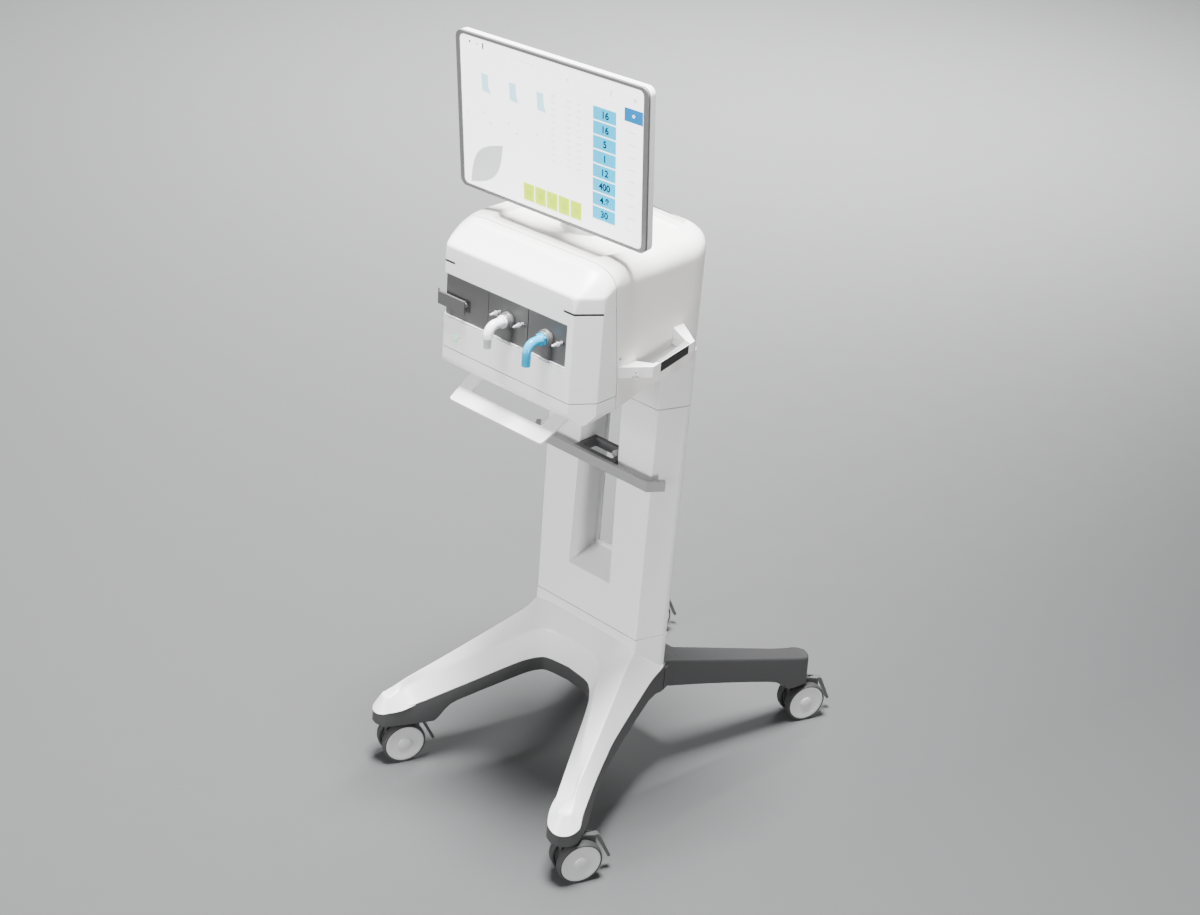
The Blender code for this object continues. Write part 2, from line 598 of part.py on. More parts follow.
def make_unit_shells():
    """Front cover, lower front cover and rear shell, parted along the two seams."""
    outer = unit_solid("unit_outer", 0.0)
    cavity = unit_solid("unit_cavity", WALL, top=RECESS_FLOOR)
    recess = prism_mesh("top_recess", [rounded([
        (-0.1280, -0.2380, 0.012), (-0.1280, 0.0250, 0.012), (0.1280, 0.0250, 0.012),
        (0.1280, -0.2380, 0.012)])], "Z", RECESS_FLOOR, 1.25)
    front = add_object("front_cover", outer.copy(), WHITE)
    keep(front, box_mesh("front_part", (-0.5, -0.5, UNIT_SEAM_Z), (0.5, UNIT_SEAM_Y - GAP, 1.5)))
    cut(front, cavity, recess,
        box_mesh("module_opening", (PANEL_LEFT, -0.32, PANEL_BOTTOM), (PANEL_RIGHT, -0.2500, PANEL_TOP)),
        cylinder_mesh("button_hole", BUTTON_PLACE - Vector((0, 0.01, 0)),
                      BUTTON_PLACE + Vector((0, 0.02, 0)), 0.0082, segments=16))
    for side in (1, -1):
        cut(front, alarm_mesh(side, 0.0020, 0.0028, 0.0015))
    lower = add_object("lower_front_cover", outer.copy(), WHITE)
    keep(lower, box_mesh("lower_part", (-0.5, -0.5, 0.8), (0.5, UNIT_SEAM_Y - GAP, UNIT_SEAM_Z - GAP)))
    cut(lower, cavity.copy())
    rear = add_object("rear_shell", outer, WHITE)
    keep(rear, box_mesh("rear_part", (-0.5, UNIT_SEAM_Y, 0.8), (0.5, 0.5, 1.5)))
    cut(rear, cavity.copy(), recess.copy(),
        box_mesh("rear_opening", (-0.0950, 0.0300, 0.9900), (0.0950, 0.1000, 1.1250)))


def alarm_mesh(side, proud, depth, half_height):
    """Bar that wraps an upright front corner, for an alarm light or for its seat."""
    face, shoulder = Vector((UNIT_FACE_HALF, UNIT_FRONT)), Vector((UNIT_HALF, UNIT_SHOULDER))
    outward = Vector((0.806, -0.592))
    inner = 0.1302 + (GAP if proud < 0.001 else 0.0)
    outline = [Vector((inner, face.y - proud)), face + Vector((0.507, -1.0)) * proud,
               shoulder + outward * proud, shoulder - outward * depth,
               face - Vector((0.507, -1.0)) * depth, Vector((inner, face.y + depth))]
    mesh = prism_mesh("alarm_light", [outline], "Z", ALARM_HEIGHT - half_height, ALARM_HEIGHT + half_height)
    return mesh if side > 0 else mirror_mesh(mesh, "alarm_light")


def make_unit_front():
    """Modules, ports, elbows, nipples, power button and alarm lights on the unit's face."""
    add_object("alarm_light_right", alarm_mesh(1, 0.0002, 0.0025, 0.0012), LIGHT_GREY)
    add_object("alarm_light_left", alarm_mesh(-1, 0.0002, 0.0025, 0.0012), LIGHT_GREY)
    corner, shoulder = UNIT_FACE_HALF - 0.0020, UNIT_SHOULDER + 0.0010
    shelf = [(PANEL_RIGHT - GAP, -0.2903), (PANEL_RIGHT - GAP, -0.1500), (-0.1803, -0.1500),
             (-0.1803, shoulder), (-0.1540, -0.2903)]
    prism("module_shelf", [shelf], "Z", PANEL_BOTTOM + GAP, MODULE_BOTTOM - GAP, SILVER)
    top = PANEL_TOP - 0.0006
    left_edge, right_edge = MODULE_SPLITS
    left = prism("left_module", [[(left_edge - 0.0006, MODULE_FACE), (left_edge - 0.0006, MODULE_BACK),
                                  (-0.1798, MODULE_BACK), (-0.1798, shoulder), (-corner, MODULE_FACE)]],
                 "Z", MODULE_BOTTOM, top, PANEL_GREY)
    posts = [(x, 1.0405) for x in (-0.1360, -0.1040)]
    for x, z in posts:
        cut(left, cylinder_mesh("post_bore", (x, MODULE_FACE - 0.001, z), (x, MODULE_FACE + 0.006, z), 0.0033,
                                segments=12))
    handle = prism("module_handle", [rounded([
        (-0.1610, 1.0290, 0.001), (-0.0940, 1.0290, 0.001), (-0.0940, 1.0520, 0.001),
        (-0.1610, 1.0520, 0.001)], 2)], "Y", -0.3000, -0.2970, PANEL_GREY)
    for x, z in posts:
        join(handle, cylinder_mesh("post", (x, -0.2980, z), (x, MODULE_FACE + 0.005, z), 0.0030, segments=12))
    centre = box("centre_module", (left_edge, MODULE_FACE, MODULE_BOTTOM),
                 (right_edge - 0.0003, -0.1550, top), PANEL_GREY)
    right = box("right_module", (right_edge + 0.0003, MODULE_FACE, MODULE_BOTTOM),
                (PANEL_RIGHT - 0.0006, -0.1550, top), PANEL_GREY)
    for module, x in ((centre, PORTS[0]), (right, PORTS[1])):
        cut(module, cylinder_mesh("port_bore", (x, MODULE_FACE - 0.001, PORT_HEIGHT),
                                  (x, MODULE_FACE + 0.030, PORT_HEIGHT), 0.0080, segments=16))
    for number, (x, z) in enumerate(NIPPLES, 1):
        turned(f"pressure_nipple_{number}", [
            (0.0, 0.0265), (0.0016, 0.0265), (0.0026, 0.0205), (0.0020, 0.0205), (0.0035, 0.0150),
            (0.0026, 0.0150), (0.0026, 0.0120), (0.0048, 0.0115), (0.0048, 0.0095), (0.0026, 0.0090),
            (0.0026, 0.0), (0.0, 0.0)],
            STEEL, steps=12, location=(x, MODULE_FACE - GAP, z), rotation=(pi / 2, 0, 0))
    make_elbow("expiratory", "white_elbow", PORTS[0], WHITE, 0.0088, 0.0067)
    make_elbow("inspiratory", "blue_elbow", PORTS[1], BLUE, 0.0078, 0.0077)
    ring = add_object("power_led_ring", cylinder_mesh("ring", BUTTON_PLACE - Vector((0, 0.0003, 0)),
                      BUTTON_PLACE + Vector((0, 0.0050, 0)), 0.0079, segments=20), GREEN)
    cut(ring, cylinder_mesh("ring_bore", BUTTON_PLACE - Vector((0, 0.01, 0)),
                            BUTTON_PLACE + Vector((0, 0.01, 0)), 0.0061, segments=20))
    turned("power_button", [(0.0, 0.0030), (0.0044, 0.0028), (0.0058, 0.0018), (0.0058, -0.0060),
                            (0.0, -0.0060)],
           WHITE, steps=20, location=BUTTON_PLACE, rotation=(pi / 2, 0, 0))


def make_elbow(port, name, x, material, tube_radius, tip_radius):
    """A fixed port collar and the swivelling elbow in it; the elbow's origin is on its axis."""
    collar_front = MODULE_FACE - GAP - 0.0120
    collar = add_object(f"{port}_port", cylinder_mesh("collar", (x, collar_front, PORT_HEIGHT),
                        (x, MODULE_FACE - GAP, PORT_HEIGHT), 0.0150, segments=24), LIGHT_GREY)
    cut(collar, cylinder_mesh("collar_bore", (x, collar_front - 0.01, PORT_HEIGHT),
                              (x, MODULE_FACE + 0.01, PORT_HEIGHT), 0.0080, segments=24))
    spigot = collar_front - MODULE_FACE
    path = [(0.0130, 0.0, 0.0073), (spigot - 0.0004, 0.0, 0.0073), (spigot - 0.0004, 0.0, 0.0115),
            (spigot - 0.0050, 0.0, 0.0115), (spigot - 0.0055, 0.0, tube_radius)]
    turn_start, bend = -0.0295, 0.0180
    for step in range(6):
        angle = radians(18.0 * step)
        path.append((turn_start - bend * sin(angle), -bend * (1 - cos(angle)), tube_radius))
    path += [(turn_start - bend, -0.0285, tube_radius), (turn_start - bend, -0.0287, tip_radius),
             (turn_start - bend, -0.0395, tip_radius)]
    rings, bores, sides = [], [], 16
    angles = [0.0] * 5 + [18.0 * step for step in range(6)] + [90.0] * 3
    for (y, z, radius), angle in zip(path, angles):
        across = Vector((0, sin(radians(angle)), -cos(radians(angle)))) * -1.0
        for store, size in ((rings, radius), (bores, 0.0055)):
            store.append([Vector((0, y, z)) + size * (Vector((cos(a), 0, 0)) + across * sin(a))
                          for a in (2 * pi * k / sides for k in range(sides))])
    ahead = Vector((0, 0.004, 0))
    bore = [[point + ahead for point in bores[0]], *bores[4:], [p - Vector((0, 0, 0.004)) for p in bores[-1]]]
    elbow = add_object(name, loft_mesh(name, rings), material, location=(x, MODULE_FACE, PORT_HEIGHT))
    cut(elbow, loft_mesh("elbow_bore", bore))


# ---------------------------------------------------------------- unit contents and rear
def make_unit_inside():
    """Chassis plate with blower, battery and control board, and the rear connection panel."""
    deck = 0.9720
    plate = [(0.1790, -0.1400), (0.1790, -0.0400), (0.1100, 0.0350), (-0.1100, 0.0350),
             (-0.1790, -0.0400), (-0.1790, -0.1400)]
    chassis = prism("chassis", [plate], "Z", deck - 0.0030, deck, STEEL)
    for x in (-0.1280, 0.1280):
        for y in (-0.1250, -0.0300):
            join(chassis, cylinder_mesh("board_post", (x, y, deck - 0.001), (x, y, 1.1100), 0.0040,
                                        segments=8))
    box("control_board", (-0.1350, -0.1350, 1.1103), (0.1350, 0.0000, 1.1120), BOARD)
    blower = add_object("blower", cylinder_mesh("blower", (-0.0650, -0.0650, deck + GAP),
                        (-0.0650, -0.0650, deck + 0.0550), 0.0500, segments=24), PANEL_GREY)
    join(blower, box_mesh("blower_outlet", (-0.0650, -0.1300, deck + 0.0120),
                          (-0.0250, -0.0650, deck + 0.0420)))
    box("battery_pack", (0.0150, -0.1200, deck + GAP), (0.1150, 0.0000, deck + 0.0620), BLACK)
    panel = box("rear_panel", (-0.0947, 0.0510, 0.9903), (0.0947, 0.0545, 1.1247), PANEL_GREY)
    cut(panel, cylinder_mesh("gas_bore", (-0.0550, 0.04, 1.0600), (-0.0550, 0.07, 1.0600), 0.0062,
                             segments=16))
    inlet = box_mesh("mains_bore", (0.0348, 0.04, 1.0198), (0.0652, 0.07, 1.0402))
    cut(panel, inlet)
    turned("gas_inlet", [(0.0, 0.0210), (0.0048, 0.0210), (0.0060, 0.0190), (0.0060, 0.0120),
                         (0.0095, 0.0118), (0.0095, 0.0003), (0.0060, 0.0003), (0.0060, -0.0100),
                         (0.0, -0.0100)],
           STEEL, steps=16, location=(-0.0550, 0.0545, 1.0600), rotation=(-pi / 2, 0, 0))
    socket = box("mains_inlet", (0.0350, 0.0400, 1.0200), (0.0650, 0.0565, 1.0400), BLACK)
    cut(socket, box_mesh("socket_well", (0.0385, 0.0450, 1.0230), (0.0615, 0.07, 1.0370)))


# ---------------------------------------------------------------- handles
def make_side_handle(side, word):
    """Grab handle on one side of the unit, with a soft pad let into its outer face."""
    wall = UNIT_HALF + GAP
    rings = []
    for (outer_x, outer_y), (inner_x, inner_y), low, high in (
            ((wall, -0.2030), (wall, -0.1790), 0.9820, 1.0020),
            ((0.2200, -0.1540), (0.2060, -0.1480), 0.9820, 1.0020),
            ((0.2200, -0.0480), (0.2060, -0.0560), 1.0030, 1.0210),
            ((wall, -0.0380), (wall, -0.0600), 1.0080, 1.0390)):
        rings.append([Vector((outer_x, outer_y, low)), Vector((outer_x, outer_y, high)),
                      Vector((inner_x, inner_y, high)), Vector((inner_x, inner_y, low))])
    mesh = loft_mesh(f"side_handle_{word}", rings)

    def pad(grow, outer):
        ends = (-0.1340 - grow, -0.0630 + grow)
        low = [(y, 0.9830 - grow + 0.1981 * (y + 0.154)) for y in ends]
        high = [(y, 1.0010 + grow + 0.1792 * (y + 0.154)) for y in ends]
        return prism_mesh("grip", [low + high[::-1]], "X", 0.2170 - grow, outer)

    seat, grip = pad(GAP, 0.2300), pad(0.0, 0.2204)
    if side < 0:
        mesh, seat, grip = [mirror_mesh(item, item.name) for item in (mesh, seat, grip)]
    cut(add_object(f"side_handle_{word}", mesh, WHITE), seat)
    add_object(f"grip_{word}", grip, BLACK)


def make_hose_clip():
    """Small eye on a stem, fixed to the slanted front face of the right side handle."""
    seat = Vector((0.2025, -0.1783, 0.9900)) + Vector((0.8, -0.6, 0.0)) * GAP
    clip = add_object("hose_clip", cylinder_mesh("eye", (0, 0, 0), (0, 0, 0.0030), 0.0058, segments=24),
                      WHITE, location=seat - Vector((0, 0, 0.0050)))
    clip.rotation_euler = Vector((0.8, -0.6, 0.0)).to_track_quat("Z", "Y").to_euler()
    join(clip, box_mesh("stem", (-0.0018, 0.0030, 0.0000), (0.0018, 0.0100, 0.0022)))
    cut(clip, cylinder_mesh("eye_hole", (0, 0, -0.01), (0, 0, 0.01), 0.0029, segments=20))


def make_front_handle():
    """Flat loop handle that slopes down and forward from under the unit."""
    half = [(0.1146, 0.0, 0.014), (0.1255, 0.1200, 0.0), (0.0890, 0.1200, 0.0), (0.0873, 0.0315, 0.010)]
    plate = prism_mesh("front_handle", [rounded(mirrored(half))], "Z", -0.0040, 0.0)
    handle = add_object("front_handle", plate, WHITE, location=(0, -0.3087, 0.8633),
                        rotation=(radians(28.6), 0, 0))
    clear = side_zone("handle_trim", [(y, underside_z(y) - GAP) for y in (-0.40, -0.13)], 0.3)
    clear.transform(Matrix.Rotation(radians(-28.6), 4, "X") @ Matrix.Translation((0, 0.3087, -0.8633)))
    cut(handle, clear)


# ---------------------------------------------------------------- display
def make_display():
    """Display head (frame, glass, back) on a tilt hinge, on an arm that turns on its foot."""
    foot = add_object("display_foot", cylinder_mesh("foot", SWIVEL_AXIS + Vector((0, 0, RECESS_FLOOR + GAP)),
                      SWIVEL_AXIS + Vector((0, 0, RECESS_FLOOR + 0.0110)), 0.0480, segments=28), LIGHT_GREY)
    join(foot, cylinder_mesh("pivot", SWIVEL_AXIS + Vector((0, 0, RECESS_FLOOR + 0.009)),
                             SWIVEL_AXIS + Vector((0, 0, RECESS_FLOOR + 0.0210)), 0.0120, segments=20))
    swivel = add_empty("display_swivel", SWIVEL_AXIS + Vector((0, 0, RECESS_FLOOR + 0.0113)))
    base, tilt = swivel.location, TILT_AXIS - swivel.location
    side = [(-0.0300, 0.0), (0.0300, 0.0), (0.0300, 0.0160), (0.0180, 0.0220),
            (tilt.y + 0.0100, tilt.z + 0.0080), (tilt.y - 0.0040, tilt.z + 0.0080),
            (tilt.y - 0.0080, tilt.z - 0.0160), (-0.0180, 0.0240), (-0.0300, 0.0180)]
    arm = prism("display_arm", [side], "X", -0.0200, 0.0200, WHITE, parent=swivel)
    join(arm, cylinder_mesh("arm_base", (0, 0, 0), (0, 0, 0.0160), 0.0340, segments=24),
         cylinder_mesh("barrel", tilt - Vector((0.0200, 0, 0)), tilt + Vector((0.0200, 0, 0)), 0.0130,
                       segments=20))
    cut(arm, cylinder_mesh("pivot_bore", (0, 0, -0.01), (0, 0, 0.0100), 0.0124, segments=20),
        cylinder_mesh("tilt_bore", tilt - Vector((0.03, 0, 0)), tilt + Vector((0.03, 0, 0)), 0.0054,
                      segments=16))
    head = add_empty("display_tilt", tilt, (DISPLAY_LEAN, 0, 0), parent=swivel)
    width, height, front = DISPLAY_WIDTH / 2, DISPLAY_HEIGHT / 2, DISPLAY_OFFSET
    middle = Vector((0, 0, DISPLAY_RISE))

    def panel(name, inset_x, inset_z, radius, start, end):
        corners = [(width - inset_x, height - inset_z), (inset_x - width, height - inset_z),
                   (inset_x - width, inset_z - height), (width - inset_x, inset_z - height)]
        outline = [corner + Vector((0, middle.z)) for corner in rounded([(*c, radius) for c in corners], 4)]
        return prism_mesh(name, [outline], "Y", start, end)

    bezel = add_object("display_frame", panel("display_frame", 0, 0, 0.014, front, front + 0.0045),
                       SILVER, parent=head)
    cut(bezel, panel("glass_seat", 0.0105, 0.0062, 0.0093, front - 0.01, front + 0.0035))
    add_object("display_glass", panel("display_glass", 0.0108, 0.0065, 0.0090, front + 0.0004, front + 0.0032),
               GLASS, parent=head)
    shell = panel("display_back", 0.0004, 0.0004, 0.0136, front + 0.0048, front + 0.0170)
    back = add_object("display_back", shell, WHITE, parent=head)
    join(back, panel("back_bulge", 0.0700, 0.0500, 0.020, front + 0.0150, front + 0.0300))
    for x in (-0.0255, 0.0255):
        lug = cylinder_mesh("lug", (x - 0.005, 0, 0), (x + 0.005, 0, 0), 0.0130, segments=20)
        join(back, lug, box_mesh("lug_root", (x - 0.005, front + 0.0250, -0.0130), (x + 0.005, 0.0, 0.0130)))
    join(back, cylinder_mesh("tilt_pin", (-0.0230, 0, 0), (0.0230, 0, 0), 0.0050, segments=16))


def main():
    """Build every sub-part."""
    make_base_frame()
    make_base_cover()
    for name, place in zip(("front_left", "front_right", "rear_left", "rear_right"), caster_places()):
        make_caster(f"{name}_caster", place)
    make_column()
    make_rail()
    make_unit_shells()
    make_unit_front()
    make_unit_inside()
    make_side_handle(1, "right")
    make_side_handle(-1, "left")
    make_hose_clip()
    make_front_handle()
    make_display()


main()
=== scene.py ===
"""Studio picture of a mechanical ventilator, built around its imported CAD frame.

Lengths are metres. Shapes are worked out in machine coordinates, in which X = 0 is the plane of
symmetry of the column and main unit, the front faces -Y and the floor is Z = 0. piece() moves
them to ORIGIN in the frame's own coordinates.
"""
import json
from math import atan2, cos, pi, radians, sin, tan

import bmesh
import bpy
from mathutils import Matrix, Vector

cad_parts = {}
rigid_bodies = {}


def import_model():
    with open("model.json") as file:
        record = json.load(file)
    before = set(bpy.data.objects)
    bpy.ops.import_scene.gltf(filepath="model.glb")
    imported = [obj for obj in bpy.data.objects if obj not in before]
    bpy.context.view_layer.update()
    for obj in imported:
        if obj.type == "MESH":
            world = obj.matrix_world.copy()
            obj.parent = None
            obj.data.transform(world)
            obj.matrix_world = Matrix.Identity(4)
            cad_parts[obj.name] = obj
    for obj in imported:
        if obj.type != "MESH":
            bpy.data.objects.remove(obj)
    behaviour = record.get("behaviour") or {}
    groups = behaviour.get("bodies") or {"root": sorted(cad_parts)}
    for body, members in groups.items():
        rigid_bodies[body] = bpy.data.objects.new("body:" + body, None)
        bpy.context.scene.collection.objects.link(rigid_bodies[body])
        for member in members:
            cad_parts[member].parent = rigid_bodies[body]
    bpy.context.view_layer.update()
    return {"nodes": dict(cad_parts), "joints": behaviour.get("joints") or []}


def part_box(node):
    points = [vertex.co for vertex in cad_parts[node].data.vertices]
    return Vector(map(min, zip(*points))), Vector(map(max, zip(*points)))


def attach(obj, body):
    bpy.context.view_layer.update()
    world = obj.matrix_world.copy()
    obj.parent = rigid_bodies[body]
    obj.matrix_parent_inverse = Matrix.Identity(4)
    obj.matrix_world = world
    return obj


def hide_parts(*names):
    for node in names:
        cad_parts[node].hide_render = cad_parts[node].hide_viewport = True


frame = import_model()

# ---------------------------------------------------------------- places taken from the frame
COLUMN_FRONT = -0.0228
column_low, column_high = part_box("column_shell")
ORIGIN = Vector(((column_low.x + column_high.x) / 2, column_low.y - COLUMN_FRONT, 0.0))
JOINTS = {joint["name"]: joint for joint in frame["joints"]}


def local_box(node):
    """A CAD node's box in machine coordinates."""
    low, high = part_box(node)
    return low - ORIGIN, high - ORIGIN


def joint_point(name):
    return Vector(JOINTS[name]["pos_m"]) - ORIGIN


COLUMN_FACE_HALF = 0.1336
COLUMN_HALF = (column_high.x - column_low.x) / 2
COLUMN_SHOULDER = 0.0323
COLUMN_BACK = column_high.y - ORIGIN.y
COLUMN_FOOT, COLUMN_SEAM = column_low.z, column_high.z + 0.0003
UNIT_HALF = 0.1840
UNIT_FACE_HALF = 0.1545
UNIT_FRONT = local_box("front_cover")[0].y
UNIT_SHOULDER = -0.2506
UNIT_REAR = local_box("rear_shell")[1].y
UNIT_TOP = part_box("rear_shell")[1].z
SEAM_Y = local_box("rear_shell")[0].y
SEAM_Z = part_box("front_cover")[0].z
PANEL_LOW, PANEL_HIGH = 1.0060, 1.0872
MODULE_FACE = local_box("centre_module")[0].y
PORT_HEIGHT = joint_point("white_elbow_turn").z
PORTS = (joint_point("white_elbow_turn").x, joint_point("blue_elbow_turn").x)
BUTTON = sum(local_box("power_button"), Vector()) / 2
BUTTON.y = UNIT_FRONT
LEAN = radians(5.56)

# ---------------------------------------------------------------- sizes that several pieces share
FIT = 0.0003
SEAM_HALF = 0.0008
TOP_RISE, RISE_START = 0.026, -0.198
ALARM_HEIGHT, LOW_GROOVE_HEIGHT = 1.1100, 0.9737
ALARM_HALF_HEIGHT = 0.0020
ALARM_INNER_END = 0.1302
LEG_SECTION_Y = -0.15
HANDLE_LEAN = radians(28.6)
UI_THICKNESS = 0.00014
UI_SEAT = 0.0003

# ---------------------------------------------------------------- materials
def shader_of(name):
    material = bpy.data.materials.new(name)
    material.use_nodes = True
    tree = material.node_tree
    return material, tree, tree.nodes["Principled BSDF"]


def surface(name, colour, roughness, metallic=0.0, grain=900.0, bump=0.03, spread=0.06, tint=0.03):
    """Procedural finish: a fine grain varies the roughness, the colour and the bump."""
    material, tree, shader = shader_of(name)
    nodes, links = tree.nodes, tree.links
    place_node = nodes.new("ShaderNodeTexCoord")
    fine = nodes.new("ShaderNodeTexNoise")
    fine.inputs["Scale"].default_value = grain
    fine.inputs["Detail"].default_value = 3.0
    broad = nodes.new("ShaderNodeTexNoise")
    broad.inputs["Scale"].default_value = 9.0
    links.new(place_node.outputs["Object"], fine.inputs["Vector"])
    links.new(place_node.outputs["Object"], broad.inputs["Vector"])
    rough = nodes.new("ShaderNodeMapRange")
    rough.inputs["To Min"].default_value = max(roughness - spread, 0.02)
    rough.inputs["To Max"].default_value = roughness + spread
    links.new(broad.outputs["Fac"], rough.inputs["Value"])
    links.new(rough.outputs["Result"], shader.inputs["Roughness"])
    ramp = nodes.new("ShaderNodeValToRGB")
    ramp.color_ramp.elements[0].position = 0.3
    ramp.color_ramp.elements[1].position = 0.7
    ramp.color_ramp.elements[0].color = (*[channel * (1 - tint) for channel in colour], 1.0)
    ramp.color_ramp.elements[1].color = (*colour, 1.0)
    links.new(fine.outputs["Fac"], ramp.inputs["Fac"])
    links.new(ramp.outputs["Color"], shader.inputs["Base Color"])
    relief = nodes.new("ShaderNodeBump")
    relief.inputs["Strength"].default_value = bump
    relief.inputs["Distance"].default_value = 0.0004
    links.new(fine.outputs["Fac"], relief.inputs["Height"])
    links.new(relief.outputs["Normal"], shader.inputs["Normal"])
    shader.inputs["Metallic"].default_value = metallic
    return material


WHITE = surface("moulded_white", (0.875, 0.875, 0.87), 0.34)
WARM_WHITE = surface("shell_white", (0.875, 0.850, 0.830), 0.38)
CHARCOAL = surface("powder_coat", (0.034, 0.034, 0.035), 0.42, bump=0.10, grain=1400.0)
PANEL = surface("module_grey", (0.086, 0.086, 0.086), 0.40, bump=0.08, grain=1800.0)
RAIL = surface("rail_anodised", (0.29, 0.29, 0.29), 0.42, metallic=0.15)
BRACKET = surface("bracket_grey", (0.080, 0.080, 0.082), 0.45, bump=0.08, grain=1400.0)
PEDAL = surface("pedal_grey", (0.075, 0.075, 0.076), 0.36)
LEDGE = surface("ledge_silver", (0.80, 0.80, 0.81), 0.40)
TIP = surface("tip_smoke", (0.50, 0.51, 0.52), 0.20)
SILVER = surface("bezel_silver", (0.17, 0.17, 0.172), 0.38, metallic=0.20)
STEEL = surface("turned_steel", (0.72, 0.72, 0.73), 0.22, metallic=1.0, tint=0.06)
GREY = surface("light_grey", (0.55, 0.55, 0.555), 0.42)
HUB = surface("hub_grey", (0.50, 0.50, 0.505), 0.45)
TYRE = surface("tyre_black", (0.034, 0.034, 0.035), 0.70, bump=0.12)
BLACK = surface("soft_black", (0.018, 0.018, 0.018), 0.60, bump=0.25, grain=1500.0)
# This near-black finish also paints the shadow line along the tray's back edge (painted shade).
DARK_LINE = surface("dark_marks_and_painted_shade", (0.012, 0.012, 0.013), 0.50)
BOARD = surface("solder_mask", (0.02, 0.16, 0.07), 0.40)
ELBOW_WHITE = surface("elbow_white", (0.84, 0.84, 0.84), 0.22)


def tinted(name, colour, roughness, transmission):
    """Clear-tinted plastic with a slightly uneven surface."""
    material = surface(name, colour, roughness, grain=300.0, bump=0.02, spread=0.03)
    shader = material.node_tree.nodes["Principled BSDF"]
    shader.inputs["Transmission Weight"].default_value = transmission
    shader.inputs["IOR"].default_value = 1.46
    shader.inputs["Specular IOR Level"].default_value = 0.35
    return material


def glowing(name, colour, strength, roughness=0.25):
    """A lit surface with the same fine grain as the plastics."""
    material = surface(name, colour, roughness, bump=0.0, tint=0.01)
    shader = material.node_tree.nodes["Principled BSDF"]
    shader.inputs["Emission Color"].default_value = (*colour, 1.0)
    shader.inputs["Emission Strength"].default_value = strength
    shader.inputs["Specular IOR Level"].default_value = 0.15
    return material


NYLON = tinted("nylon_clear", (0.80, 0.81, 0.82), 0.08, 0.55)
BLUE = tinted("tinted_blue", (0.0, 0.34, 0.60), 0.10, 0.0)
GREEN_LIGHT = glowing("power_green", (0.16, 0.80, 0.42), 0.7)
SCREEN = glowing("screen_white", (0.84, 0.84, 0.85), 2.8, 0.12)
UI_BLUE = glowing("ui_pale_blue", (0.0, 0.50, 0.80), 0.80)
UI_NAVY = glowing("ui_navy", (0.003, 0.020, 0.07), 0.05)
UI_TAB = glowing("ui_tab", (0.0, 0.22, 0.55), 0.28)
UI_LIME = glowing("ui_lime", (0.58, 0.80, 0.0), 0.95)
UI_LEAF = glowing("ui_leaf", (0.47, 0.48, 0.49), 1.45)
UI_FAINT = glowing("ui_faint", (0.66, 0.68, 0.70), 1.9)
UI_PINK = glowing("ui_pink", (0.84, 0.52, 0.54), 2.2)
UI_PALE = glowing("ui_pale", (0.40, 0.68, 0.78), 1.7)
UI_OLIVE = glowing("ui_olive", (0.42, 0.60, 0.0), 1.2)


# ---------------------------------------------------------------- mesh helpers
def to_mesh(bm, name, smooth_angle=32.0):
    """Weld, face outwards, shade smooth between nearly flat faces."""
    bmesh.ops.remove_doubles(bm, verts=bm.verts, dist=1e-6)
    bmesh.ops.recalc_face_normals(bm, faces=bm.faces)
    mesh = bpy.data.meshes.new(name)
    bm.to_mesh(mesh)
    bm.free()
    mesh.shade_smooth()
    mesh.set_sharp_from_angle(angle=radians(smooth_angle))
    return mesh


def box_mesh(low, high, name="box"):
    bm = bmesh.new()
    bmesh.ops.create_cube(bm, size=1.0)
    low, high = Vector(low), Vector(high)
    for vert in bm.verts:
        vert.co = Vector(l + (h - l) * (c + 0.5) for l, h, c in zip(low, high, vert.co))
    return to_mesh(bm, name)


def rounded(corners, steps=8):
    """Outline from (u, v, fillet radius) corners."""
    outline = []
    for i, (u, v, radius) in enumerate(corners):
        corner = Vector((u, v))
        if radius <= 0:
            outline.append(corner)
            continue
        before = (Vector(corners[i - 1][:2]) - corner).normalized()
        after = (Vector(corners[(i + 1) % len(corners)][:2]) - corner).normalized()
        half = before.angle(after) / 2
        centre = corner + (before + after).normalized() * (radius / sin(half))
        first = corner + before * (radius / tan(half)) - centre
        last = corner + after * (radius / tan(half)) - centre
        sweep = first.angle_signed(last)
        for k in range(steps + 1):
            angle = -sweep * k / steps
            outline.append(centre + Vector((first.x * cos(angle) - first.y * sin(angle),
                                            first.x * sin(angle) + first.y * cos(angle))))
    return outline


def mirrored(half):
    return half + [(-corner[0], *corner[1:]) for corner in reversed(half)]


def rectangle(x0, z0, x1, z1, radius=0.0, steps=6):
    return rounded([(x0, z0, radius), (x1, z0, radius), (x1, z1, radius), (x0, z1, radius)], steps)


